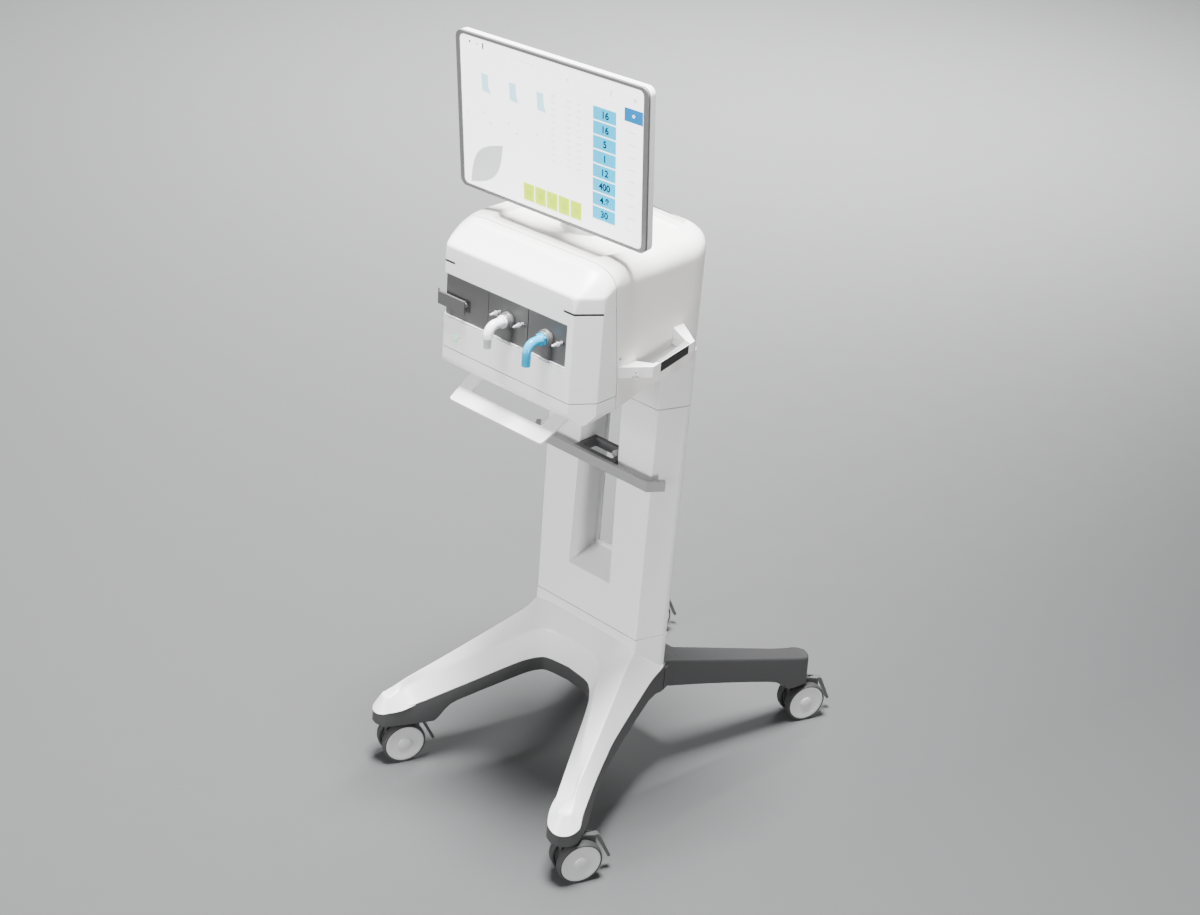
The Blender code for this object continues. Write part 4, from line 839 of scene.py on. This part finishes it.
def alarm_mesh(side, proud, depth, half_height):
    """Bar that wraps an upright front corner, for an alarm light or for its seat."""
    face, shoulder = Vector((UNIT_FACE_HALF, UNIT_FRONT)), Vector((UNIT_HALF, UNIT_SHOULDER))
    outward, corner_way = Vector((0.806, -0.592)), Vector((0.507, -1.0))
    outline = [Vector((ALARM_INNER_END, face.y - proud)), face + corner_way * proud,
               shoulder + outward * proud, shoulder - outward * depth,
               face - corner_way * depth, Vector((ALARM_INNER_END, face.y + depth))]
    mesh = prism_mesh([outline], "Z", ALARM_HEIGHT - half_height, ALARM_HEIGHT + half_height)
    return mesh if side > 0 else mirror_mesh(mesh)


# ---------------------------------------------------------------- front of the unit
def make_modules():
    """The three modules in the panel, their ledge, the pull of the left one and the alarm slits."""
    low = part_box("centre_module")[0].z
    high, corner, shoulder = PANEL_HIGH - 0.0006, UNIT_FACE_HALF - 0.0020, UNIT_SHOULDER + 0.0010
    split, second = local_box("centre_module")[0].x, local_box("right_module")[0].x
    right_edge = local_box("right_module")[1].x
    shelf = [(right_edge + 0.0003, -0.2900), (right_edge + 0.0003, -0.15), (-0.1803, -0.15),
             (-0.1803, shoulder), (-0.1540, -0.2900)]
    piece("module_ledge", prism_mesh([shelf], "Z", PANEL_LOW + 0.0012, low + 0.0009), LEDGE, "trolley",
          "module_shelf", "silver_trim", bevel=0.0003)
    outline = [(split - 0.0006, MODULE_FACE), (split - 0.0006, -0.15), (-0.1798, -0.15), (-0.1798, shoulder),
               (-corner, MODULE_FACE)]
    posts = [(x, 1.0405) for x in (-0.1360, -0.1040)]
    left = cut(prism_mesh([outline], "Z", low + 0.0012, high),
               *(rod_mesh((x, MODULE_FACE - 0.001, z), (x, MODULE_FACE + 0.006, z), 0.0033) for x,
                 z in posts))
    piece("left_module_block", left, PANEL, "left_module", "left_module", "panel_grey", bevel=0.0005)
    plate = prism_mesh([rectangle(-0.1610, 1.0290, -0.0940, 1.0520, 0.0010)], "Y", -0.3000, -0.2976)
    lip = prism_mesh([[(-0.3000, 1.0498), (-0.3000, 1.0520), (-0.2950, 1.0520), (-0.2950, 1.0506),
                       (-0.2976, 1.0506), (-0.2976, 1.0498)]], "X", -0.1610, -0.0940)
    spur = box_mesh((-0.1610, -0.2998, 1.0500), (-0.1596, -0.2978, 1.0575))
    bar = join(plate, lip, spur, *(rod_mesh((x, -0.2990, z), (x, MODULE_FACE + 0.005, z), 0.0030) for x,
                                   z in posts))
    piece("module_pull", bar, PANEL, "left_module", "module_handle", "panel_grey", bevel=0.0004)
    for x, z in posts:
        piece(f"pull_screw_{'left' if x < -0.12 else 'right'}", screw_mesh(0.0042, 0.0012), STEEL,
              "left_module",
              location=(x, MODULE_FACE - 0.0001, z), rotation=(pi / 2, 0, 0))
    for name, x0, x1, port in (("centre_module", split, second - 0.0009, PORTS[0]),
                               ("right_module", second + 0.0003, right_edge, PORTS[1])):
        block = cut(box_mesh((x0, MODULE_FACE, low + 0.0012), (x1, -0.1550, high)),
                    rod_mesh((port, MODULE_FACE - 0.001, PORT_HEIGHT),
                             (port, MODULE_FACE + 0.03, PORT_HEIGHT), 0.008))
        piece(f"{name}_block", block, PANEL, "trolley", name, "panel_grey", bevel=0.0005)
    for side, word in ((1, "right"), (-1, "left")):
        piece(f"alarm_slit_{word}", alarm_mesh(side, -FIT, 0.0025, ALARM_HALF_HEIGHT), DARK_LINE, "trolley",
              f"alarm_light_{word}", "light_grey")


def screw_mesh(radius, height):
    """Pan-head screw with a hexagon socket, standing up along +Z."""
    head = lathe_mesh([(0, height), (radius * 0.75, height), (radius * 0.95, height * 0.7),
                       (radius, height * 0.3),
                       (radius, 0), (0, 0)], 32)
    socket = [(radius * 0.45 * cos(a), radius * 0.45 * sin(a)) for a in (pi / 3 * k for k in range(6))]
    return cut(head, prism_mesh([socket], "Z", height * 0.4, height + 0.001))


def elbow_mesh(tube, tip, shoulder, facets):
    """Closed skin of a right-angle elbow: spigot, flange, bend and hose end, with its bore."""
    start, bend, spigot = -0.0295, 0.0180, -0.0123
    rows = [(0.0130, 0, 0.0068, 0), (0.0122, 0, 0.0073, 0), (spigot - 0.0004, 0, 0.0073, 0),
            (spigot - 0.0004, 0, 0.0110, 0), (spigot - 0.0009, 0, 0.0116, 0),
            (spigot - 0.0042, 0, 0.0116, 0),
            (spigot - 0.0049, 0, 0.0110, 0), (spigot - 0.0053, 0, 0.0092, 0),
            (spigot - 0.0068, 0, 0.0082, 0),
            (spigot - 0.0100, 0, tube, 0)]
    for step in range(13):
        angle = 7.5 * step
        rows.append((start - bend * sin(radians(angle)), -bend * (1 - cos(radians(angle))), tube, angle))
    end = start - bend
    rows += [(end, shoulder, tube, 90), (end, shoulder - 0.0008, tip, 90), (end, -0.0388, tip, 90),
             (end, -0.0395, tip - 0.0005, 90)]
    bore = [(y, z, 0.0055, angle) for y, z, _, angle in rows]
    rings, sides = [], 48
    for number, (y, z, radius, angle) in enumerate(rows + bore[::-1]):
        ring = []
        for a in (2 * pi * k / sides for k in range(sides)):
            reach = radius
            if facets and 3 <= number <= 6:
                reach *= min(1.04, 0.90 / cos((a + pi / facets) % (2 * pi / facets) - pi / facets)) * 1.04
            across = Vector((0, -sin(radians(angle)), cos(radians(angle))))
            ring.append(Vector((0, y, z)) + reach * (Vector((cos(a), 0, 0)) + across * sin(a)))
        rings.append(ring)
    return loft_mesh(rings, closed=True, smooth_angle=35.0)


def make_ports():
    """Both elbows with their collars, the pressure nipples and the power button."""
    collar = [(0.0081, 0.0), (0.0150, 0.0), (0.0150, 0.0072), (0.0146, 0.0078), (0.0128, 0.0080),
              (0.0128, 0.0112),
              (0.0122, 0.0120), (0.0086, 0.0120), (0.0081, 0.0115)]
    for name, port, x, material, slot, tube, tip, shoulder, facets in (
            ("white_elbow", "expiratory_port", PORTS[0], ELBOW_WHITE, "white_shell", 0.0088, 0.0060,
             -0.0210, 0),
            ("blue_elbow", "inspiratory_port", PORTS[1], BLUE, "blue_plastic", 0.0078, 0.0077, -0.0282, 6)):
        piece(f"{name}_tube", elbow_mesh(tube, tip, shoulder, facets), material, name, name, slot,
              location=(x, MODULE_FACE, PORT_HEIGHT))
        piece(f"{port}_collar", lathe_mesh(collar, 64), SILVER, "trolley", port, "light_grey",
              location=(x, MODULE_FACE - 0.0003, PORT_HEIGHT), rotation=(pi / 2, 0, 0))
    sleeve = [(0.0061, -0.0220), (0.0069, -0.0224), (0.0067, -0.0392), (0.0061, -0.0396)]
    piece("white_elbow_tip", lathe_mesh(sleeve, 48), TIP, "white_elbow",
          location=(PORTS[0], MODULE_FACE - 0.0475, PORT_HEIGHT))
    nipple = [(0.0, 0.0240), (0.0010, 0.0240), (0.0014, 0.0236), (0.0024, 0.0196), (0.0017, 0.0192),
              (0.0030, 0.0150),
              (0.0019, 0.0146), (0.0019, 0.0122), (0.0038, 0.0118), (0.0042, 0.0112), (0.0042, 0.0096),
              (0.0036, 0.0090), (0.0021, 0.0086), (0.0020, 0.0030), (0.0032, 0.0026), (0.0032, 0.0),
              (0.0, 0.0)]
    for number in (1, 2, 3):
        low, high = local_box(f"pressure_nipple_{number}")
        piece(f"nipple_{number}", lathe_mesh(nipple, 32), NYLON, "trolley", f"pressure_nipple_{number}",
              "steel",
              location=((low.x + high.x) / 2, MODULE_FACE - 0.0003, (low.z + high.z) / 2),
              rotation=(pi / 2, 0, 0))
    ring = [(0.0061, 0.0004), (0.0079, 0.0004), (0.0079, -0.0050), (0.0061, -0.0050)]
    piece("button_ring", lathe_mesh(ring, 48), GREEN_LIGHT, "trolley", "power_led_ring", "green_light",
          location=BUTTON, rotation=(pi / 2, 0, 0))
    cap = [(0.0, 0.0006), (0.0030, 0.0007), (0.0046, 0.0010), (0.0054, 0.0009), (0.0058, 0.0004),
           (0.0058, -0.0060),
           (0.0, -0.0060)]
    piece("button_cap", lathe_mesh(cap, 48), WHITE, "power_button", "power_button", "white_shell",
          location=BUTTON, rotation=(pi / 2, 0, 0))
    dot = lathe_mesh([(0, 0.0003), (0.0009, 0.0003), (0.0010, 0.0001), (0.0010, -0.0020), (0, -0.0020)], 24)
    piece("status_dot", dot, DARK_LINE, "trolley", location=BUTTON + Vector((0.0115, 0, 0.0035)),
          rotation=(pi / 2, 0, 0))


# ---------------------------------------------------------------- handles
def make_side_handle(side, word):
    """Handle at one side of the unit with the grip pad and the inlay let into it."""
    wall = UNIT_HALF + FIT
    rings = []
    for (outer_x, outer_y), (inner_x, inner_y), low, high in (
            ((wall, -0.2030), (wall, -0.1600), 0.9820, 1.0020),
            ((0.2200, -0.1540), (0.2110, -0.1420), 0.9820, 1.0020),
            ((0.2200, -0.0480), (0.2110, -0.0600), 1.0030, 1.0210),
            ((wall, -0.0380), (wall, -0.0660), 1.0080, 1.0390)):
        rings.append([Vector((outer_x, outer_y, low)), Vector((outer_x, outer_y, high)),
                      Vector((inner_x, inner_y, high)), Vector((inner_x, inner_y, low))])
    mesh = loft_mesh(rings)

    def pad(grow, outer):
        ends = (-0.1340 - grow, -0.0630 + grow)
        low = [(y, 0.9830 - grow + 0.1981 * (y + 0.154)) for y in ends]
        high = [(y, 1.0010 + grow + 0.1792 * (y + 0.154)) for y in ends]
        return prism_mesh([low + high[::-1]], "X", 0.2170 - grow, outer)

    def inlay(grow):
        ends = (-0.1380 - grow, -0.0590 + grow)
        return prism_mesh([[(y, 1.0014 + 0.1792 * (y + 0.154)) for y in ends]
                           + [(y, 1.0022 + grow * 10 + 0.1792 * (y + 0.154)) for y in ends[::-1]]],
                          "X", 0.2116, 0.2192)

    seat, grip, strip, strip_seat = pad(0.0003, 0.2300), pad(0.0, 0.2206), inlay(0.0), inlay(0.0003)
    if side < 0:
        mesh, seat, grip, strip, strip_seat = [mirror_mesh(item) for item in (mesh, seat, grip, strip, strip_seat)]
    piece(f"side_handle_{word}_bar", cut(mesh, seat, strip_seat), WHITE, "trolley", f"side_handle_{word}",
          "white_shell", bevel=0.0011)
    piece(f"grip_{word}_pad", grip, BLACK, "trolley", f"grip_{word}", "black_plastic", bevel=0.0007)
    piece(f"grip_{word}_top", strip, RAIL, "trolley", bevel=0.0002, segments=1)


def make_hose_clip():
    """Moulded eye on the slanted front face of the right side handle."""
    low, high = local_box("hose_clip")
    way = Vector((0.8, -0.6, 0.0))
    seat = Vector((0.2025, -0.1783, low.z + 0.0058)) + way * 0.0003
    ring = [(0.0029 + 0.00145 * (1 + cos(a)),
             0.0015 + 0.0015 * sin(a)) for a in (pi / 6 * k for k in range(12))]
    eye = lathe_mesh(ring, 40)
    stem = prism_mesh([rectangle(-0.0018, 0.0045, 0.0018, high.z - seat.z, 0.0008)], "Z", 0.0, 0.0024)
    turn = way.to_track_quat("Z", "Y").to_euler()
    piece("hose_eye", join(eye, stem), NYLON, "trolley", "hose_clip", "white_shell", location=seat,
          rotation=turn)


def make_front_handle():
    """Flat loop under the front of the unit, leaning forward and down."""
    half = [(0.1146, 0.0, 0.007), (0.1255, 0.1200, 0.0), (0.0890, 0.1200, 0.0), (0.0873, 0.0315, 0.006)]
    plate = prism_mesh([rounded(mirrored(half), 10)], "Z", -0.0040, 0.0)
    plate.transform(Matrix.Translation((0, -0.3087, 0.8633)) @ Matrix.Rotation(HANDLE_LEAN, 4, "X"))
    above = [(y, underside_z(y) - 0.0003) for y in (-0.40, -0.13)]
    above += [(-0.13, 1.2), (-0.40, 1.2)]
    piece("front_handle_loop", cut(plate, prism_mesh([above], "X", -0.3, 0.3)), WHITE, "trolley",
          "front_handle",
          "white_shell", bevel=0.0012)


# ---------------------------------------------------------------- display
def text_mesh(text, height):
    """Solid figures in the X-Z plane, centred on the origin, facing -Y."""
    curve = bpy.data.curves.new("text", "FONT")
    curve.body, curve.size, curve.extrude, curve.offset = text, height * 1.4, 0.00004, 0.00040
    curve.align_x, curve.align_y = "CENTER", "CENTER"
    obj = bpy.data.objects.new("text", curve)
    bpy.context.scene.collection.objects.link(obj)
    view = bpy.context.evaluated_depsgraph_get()
    mesh = bpy.data.meshes.new_from_object(obj.evaluated_get(view))
    bpy.data.objects.remove(obj, do_unlink=True)
    bpy.data.curves.remove(curve)
    mesh.transform(Matrix.Rotation(pi / 2, 4, "X"))
    return mesh


def make_display():
    """Display head: bezel, glass with its picture, and the back shell with the tilt lugs."""
    tilt = joint_point("display_tilt")
    width, height, front, rise = 0.2179, 0.14005, -0.0480, 0.0070

    def panel(inset_x, inset_z, radius, start, end, steps=10):
        outline = rectangle(inset_x - width, inset_z - height + rise, width - inset_x,
                            height - inset_z + rise,
                            radius, steps)
        return prism_mesh([outline], "Y", start, end)

    pose = {"location": tilt, "rotation": (LEAN, 0, 0)}
    bezel = cut(panel(0, 0, 0.0140, front, front + 0.0044), panel(0.0105, 0.0062, 0.0093, front - 0.01,
                                                                  front + 0.0034))
    piece("display_bezel", bezel, SILVER, "display_head", "display_frame", "silver_trim", bevel=0.0011,
          segments=4,
          **pose)
    glass = piece("display_panel", panel(0.0108, 0.0065, 0.0090, front + 0.0004, front + 0.0032), SCREEN,
                  "display_head", "display_glass", "display_glass", bevel=0.0002, segments=1, **pose)
    make_screen(glass, width - 0.0108, height - 0.0065, front + 0.0004, rise)
    shell = panel(0.0002, 0.0002, 0.0140, front + 0.0051, front + 0.0170)
    bulge = loft_mesh([[Vector((x, y, z)) for x, z in rectangle(
        inset - width, inset * 0.75 - height + rise, width - inset, height - inset * 0.75 + rise, 0.024, 8)]
        for inset, y in ((0.060, front + 0.0160), (0.062, front + 0.0200), (0.066, front + 0.0240),
                         (0.070, front + 0.0275), (0.074, front + 0.0294), (0.078, front + 0.0300))])
    vents = [prism_mesh([rectangle(x - 0.0010, 0.045, x + 0.0010, 0.072, 0.0009, 4)], "Y", front + 0.0280,
                        front + 0.05)
             for x in (-0.072 + 0.006 * k for k in range(25))]
    lugs = []
    for x in (-0.0255, 0.0255):
        lugs.append(rod_mesh((x - 0.005, 0, 0), (x + 0.005, 0, 0), 0.0130, 40))
        lugs.append(box_mesh((x - 0.005, front + 0.0250, -0.0130), (x + 0.005, 0.0, 0.0130)))
    back = cut(join(shell, bulge, *lugs, rod_mesh((-0.0230, 0, 0), (0.0230, 0, 0), 0.0050)), *vents)
    piece("display_rear_shell", back, WHITE, "display_head", "display_back", "white_shell", bevel=0.0020,
          segments=4,
          angle=50.0, **pose)
    make_arm(tilt)


def make_screen(glass, half_width, half_height, face, rise):
    """What the screen shows, as thin flat shapes on the glass; s runs right and v runs down."""
    def at(s, v):
        return (2 * s - 1) * half_width, rise + (1 - 2 * v) * half_height

    def tile(s0, v0, s1, v1, radius=0.0):
        (x0, z1), (x1, z0) = at(s0, v0), at(s1, v1)
        return prism_mesh([rectangle(x0, z0, x1, z1, radius, 3) if radius else
                           [(x0, z0), (x1, z0), (x1, z1), (x0, z1)]], "Y", face - UI_THICKNESS,
                           face + UI_SEAT)

    def show(name, meshes, material, lift=0.0):
        piece(name, merged(*meshes), material, None, parent=glass, location=(0, -lift, 0))

    rows = [0.182 + 0.0915 * k for k in range(8)]
    show("ui_values", [tile(0.742, v, 0.863, v + 0.083) for v in rows], UI_BLUE)
    figures = []
    for text, v in zip(("16", "16", "5", "1", "12", "400", "4.8", "30"), rows):
        x, z = at(0.805, v + 0.044)
        mesh = text_mesh(text, 0.0118)
        mesh.transform(Matrix.Translation((x, face - UI_THICKNESS, z)))
        figures.append(mesh)
    show("ui_figures", figures, UI_NAVY, 0.00006)
    show("ui_tab", [tile(0.905, 0.128, 0.999, 0.212)], UI_TAB)
    x, z = at(0.952, 0.170)
    icon = lathe_mesh([(0.0014, 0.0), (0.0026, 0.0), (0.0026, 0.0001), (0.0014, 0.0001)], 24)
    icon.transform(Matrix.Translation((x, face - UI_THICKNESS, z)) @ Matrix.Rotation(pi / 2, 4, "X"))
    show("ui_tab_icon", [icon], SCREEN, 0.00004)
    show("ui_buttons", [tile(0.354 + 0.0665 * k, 0.845, 0.414 + 0.0665 * k, 0.962) for k in range(5)],
         UI_LIME)
    marks = [tile(0.372 + 0.0665 * k, 0.890, 0.398 + 0.0665 * k, 0.925, 0.001) for k in range(5)]
    show("ui_button_marks", marks, UI_OLIVE, 0.00006)
    tip, root = at(0.236, 0.654), at(0.040, 0.978)
    leaf = []
    for k in range(25):
        t = k / 24
        leaf.append((root[0] + (tip[0] - root[0]) * t - 0.0200 * sin(pi * t),
                     root[1] + (tip[1] - root[1]) * t
                     + 0.0170 * sin(pi * t)))
    for k in range(1, 24):
        t = 1 - k / 24
        leaf.append((root[0] + (tip[0] - root[0]) * t + 0.0200 * sin(pi * t),
                     root[1] + (tip[1] - root[1]) * t
                     - 0.0170 * sin(pi * t)))
    show("ui_leaf", [prism_mesh([leaf], "Y", face - UI_THICKNESS, face + UI_SEAT)], UI_LEAF)
    lungs = []
    for s in (0.12, 0.28, 0.435):
        corners = [(*at(s, 0.215), 0), (*at(s + 0.038, 0.215), 0), (*at(s + 0.040, 0.29), 0),
                   (*at(s + 0.052, 0.335), 0),
                   (*at(s + 0.004, 0.330), 0)]
        lungs.append(prism_mesh([rounded(corners[::-1])], "Y", face - UI_THICKNESS, face + UI_SEAT))
    show("ui_curves", lungs, UI_PALE)
    dots = [tile(s, v, s + 0.010, v + 0.014, 0.0008) for s, v in ((0.03, 0.50), (0.125, 0.47), (0.165, 0.52),
                                                                  (0.27, 0.48), (0.315, 0.53), (0.43, 0.49))]
    show("ui_trends", dots, UI_PINK)
    dark = [tile(0.052, 0.028, 0.062, 0.040), tile(0.098, 0.030, 0.102, 0.044),
            tile(0.130, 0.020, 0.137, 0.058)]
    show("ui_marks", dark, DARK_LINE)
    faint = [tile(s, 0.205 + 0.042 * k, s + 0.022,
                  0.213 + 0.042 * k) for s in (0.515, 0.60, 0.655) for k in range(11)]
    faint += [tile(0.925, 0.27 + 0.078 * k, 0.965, 0.277 + 0.078 * k) for k in range(9)]
    faint += [tile(0.29 + 0.03 * k, 0.052, 0.308 + 0.03 * k, 0.058) for k in range(5)]
    faint += [tile(0.71 + 0.012 * k, 0.128, 0.717 + 0.012 * k, 0.132) for k in range(15)]
    faint += [tile(0.60, 0.070, 0.612, 0.085), tile(0.83, 0.055, 0.838, 0.095),
              tile(0.95, 0.06, 0.966, 0.085)]
    show("ui_faint_text", faint, UI_FAINT)


def make_arm(tilt):
    """Foot in the tray, and the arm that swivels on it and carries the display's hinge."""
    low, high = local_box("display_foot")
    axis = joint_point("display_swivel")
    foot = [(0, 0.0207), (0.0112, 0.0207), (0.0120, 0.0199), (0.0120, 0.0107), (0.0420, 0.0107),
            (0.0460, 0.0098),
            (0.0480, 0.0076), (0.0480, 0.0), (0, 0)]
    piece("display_foot_disc", lathe_mesh(foot, 72), GREY, "trolley", "display_foot", "light_grey",
          location=(axis.x, axis.y, low.z))
    rise = tilt - axis
    side = [(-0.0300, 0.0002, 0.0), (0.0300, 0.0002, 0.0), (0.0300, 0.0160, 0.004), (0.0180, 0.0220, 0.010),
            (rise.y + 0.0100, rise.z + 0.0080, 0.004), (rise.y - 0.0040, rise.z + 0.0080, 0.004),
            (rise.y - 0.0080, rise.z - 0.0160, 0.006), (-0.0180, 0.0240, 0.012), (-0.0300, 0.0180, 0.004)]
    arm = join(prism_mesh([rounded(side, 6)], "X", -0.0200, 0.0200),
               lathe_mesh([(0, 0.0160), (0.0320, 0.0160), (0.0340, 0.0140), (0.0340, 0.0), (0, 0)], 64),
               rod_mesh(rise - Vector((0.02, 0, 0)), rise + Vector((0.02, 0, 0)), 0.0130, 48))
    arm = cut(arm, rod_mesh((0, 0, -0.01), (0, 0, 0.0100), 0.0124, 40),
              rod_mesh(rise - Vector((0.03, 0, 0)), rise + Vector((0.03, 0, 0)), 0.0054, 32))
    piece("display_arm_body", arm, WHITE, "display_arm", "display_arm", "white_shell", bevel=0.0015,
          location=axis)


# ---------------------------------------------------------------- back of the unit
def make_rear():
    """Connection panel at the back with the gas and mains inlets."""
    low, high = local_box("rear_panel")
    slots = [prism_mesh([rectangle(x - 0.0012, 1.086, x + 0.0012, 1.112, 0.0011, 4)], "Y", 0.0532, 0.07)
             for x in (-0.070 + 0.0070 * k for k in range(21))]
    panel = cut(box_mesh(low, high), rod_mesh((-0.0550, 0.04, 1.06), (-0.0550, 0.07, 1.06), 0.0062, 40),
                box_mesh((0.0348, 0.04, 1.0198), (0.0652, 0.07, 1.0402)), *slots)
    piece("connection_panel", panel, PANEL, "trolley", "rear_panel", "panel_grey", bevel=0.0006)
    inlet = [(0.0, 0.0210), (0.0036, 0.0210), (0.0048, 0.0206), (0.0060, 0.0188), (0.0060, 0.0168),
             (0.0050, 0.0160),
             (0.0050, 0.0145), (0.0060, 0.0138), (0.0060, 0.0120), (0.0088, 0.0118), (0.0095, 0.0110),
             (0.0095, 0.0010),
             (0.0090, 0.0003), (0.0060, 0.0003), (0.0060, -0.0100), (0.0, -0.0100)]
    piece("gas_connector", lathe_mesh(inlet, 48), STEEL, "trolley", "gas_inlet", "steel",
          location=(-0.0550, 0.0545, 1.06), rotation=(-pi / 2, 0, 0))
    socket = cut(prism_mesh([rectangle(0.0350, 1.0200, 0.0650, 1.0400, 0.0015)], "Y", 0.0400, 0.0565),
                 prism_mesh([[(0.0385, 1.0230), (0.0615, 1.0230), (0.0615, 1.0325), (0.0565, 1.0370),
                              (0.0435, 1.0370), (0.0385, 1.0325)]], "Y", 0.0450, 0.07))
    pins = [box_mesh((x - 0.0010, 0.0440, z - 0.002), (x + 0.0010, 0.0520, z + 0.002))
            for x, z in ((0.0430, 1.0285), (0.0500, 1.0325), (0.0570, 1.0285))]
    piece("mains_connector", join(socket, *pins), BLACK, "trolley", "mains_inlet", "black_plastic",
          bevel=0.0004)
    for number, (x, z) in enumerate((x, z) for x in (-0.0890, 0.0890) for z in (0.9960, 1.1190)):
        piece(f"panel_screw_{number + 1}", screw_mesh(0.0030, 0.0011), STEEL, "trolley",
              location=(x, high.y + 0.0001, z), rotation=(-pi / 2, 0, 0))


def main():
    """Everything in the picture, from the floor up."""
    make_base_cover()
    make_base_frame()
    for corner in ("front_left", "front_right", "rear_left", "rear_right"):
        make_caster(corner)
    make_column()
    make_rail()
    make_unit()
    make_modules()
    make_ports()
    make_side_handle(1, "right")
    make_side_handle(-1, "left")
    make_hose_clip()
    make_front_handle()
    make_display()
    make_rear()
    make_stage()


def make_stage():
    """Floor, lights and the camera at the picture's angle."""
    floor_mesh = box_mesh((-14, -14, -0.01), (14, 14, 0.0))
    floor = bpy.data.objects.new("floor", floor_mesh)
    floor_mesh.materials.append(surface("studio_floor", (0.092, 0.093, 0.095), 0.80, grain=40.0, bump=0.0,
                                        tint=0.01))
    bpy.context.scene.collection.objects.link(floor)
    world = bpy.data.worlds.new("studio")
    bpy.context.scene.world = world
    world.use_nodes = True
    world.node_tree.nodes["Background"].inputs["Color"].default_value = (0.97, 0.985, 1.0, 1.0)
    world.node_tree.nodes["Background"].inputs["Strength"].default_value = 0.20
    for name, place, target, size, power in (
            ("overhead", (0.08, -0.45, 3.85), (0, 0, 0.4), 1.1, 690.0),
            ("front", (-1.1, -4.6, 1.40), (0, 0, 0.95), 1.6, 215.0),
            ("right", (4.4, -1.4, 0.70), (0, 0, 0.95), 1.3, 118.0),
            ("backdrop", (-1.8, 4.2, 4.7), (-9.0, 5.5, 0.0), 4.0, 4300.0)):
        light = bpy.data.lights.new(name, "AREA")
        light.energy, light.shape, light.size = power, "DISK", size
        lamp = bpy.data.objects.new(name, light)
        lamp.location = place
        lamp.rotation_euler = (Vector(target) - Vector(place)).to_track_quat("-Z", "Y").to_euler()
        bpy.context.scene.collection.objects.link(lamp)
    azimuth, elevation, roll = radians(40.594), radians(27.493), radians(4.678)
    target, distance = Vector((-0.1022, 0.1023, 0.6108)) + ORIGIN, 3.4805
    back = Vector((sin(azimuth) * cos(elevation), -cos(azimuth) * cos(elevation), sin(elevation)))
    right = Vector((cos(azimuth), sin(azimuth), 0.0))
    up = back.cross(right)
    across = right * cos(roll) + up * sin(roll)
    upward = up * cos(roll) - right * sin(roll)
    camera = bpy.data.cameras.new("camera")
    camera.sensor_width, camera.lens = 36.0, 52.086
    view = bpy.data.objects.new("camera", camera)
    turn = Matrix((across, upward, back)).transposed().to_4x4()
    view.matrix_world = Matrix.Translation(target + back * distance) @ turn
    bpy.context.scene.collection.objects.link(view)
    bpy.context.scene.camera = view


main()
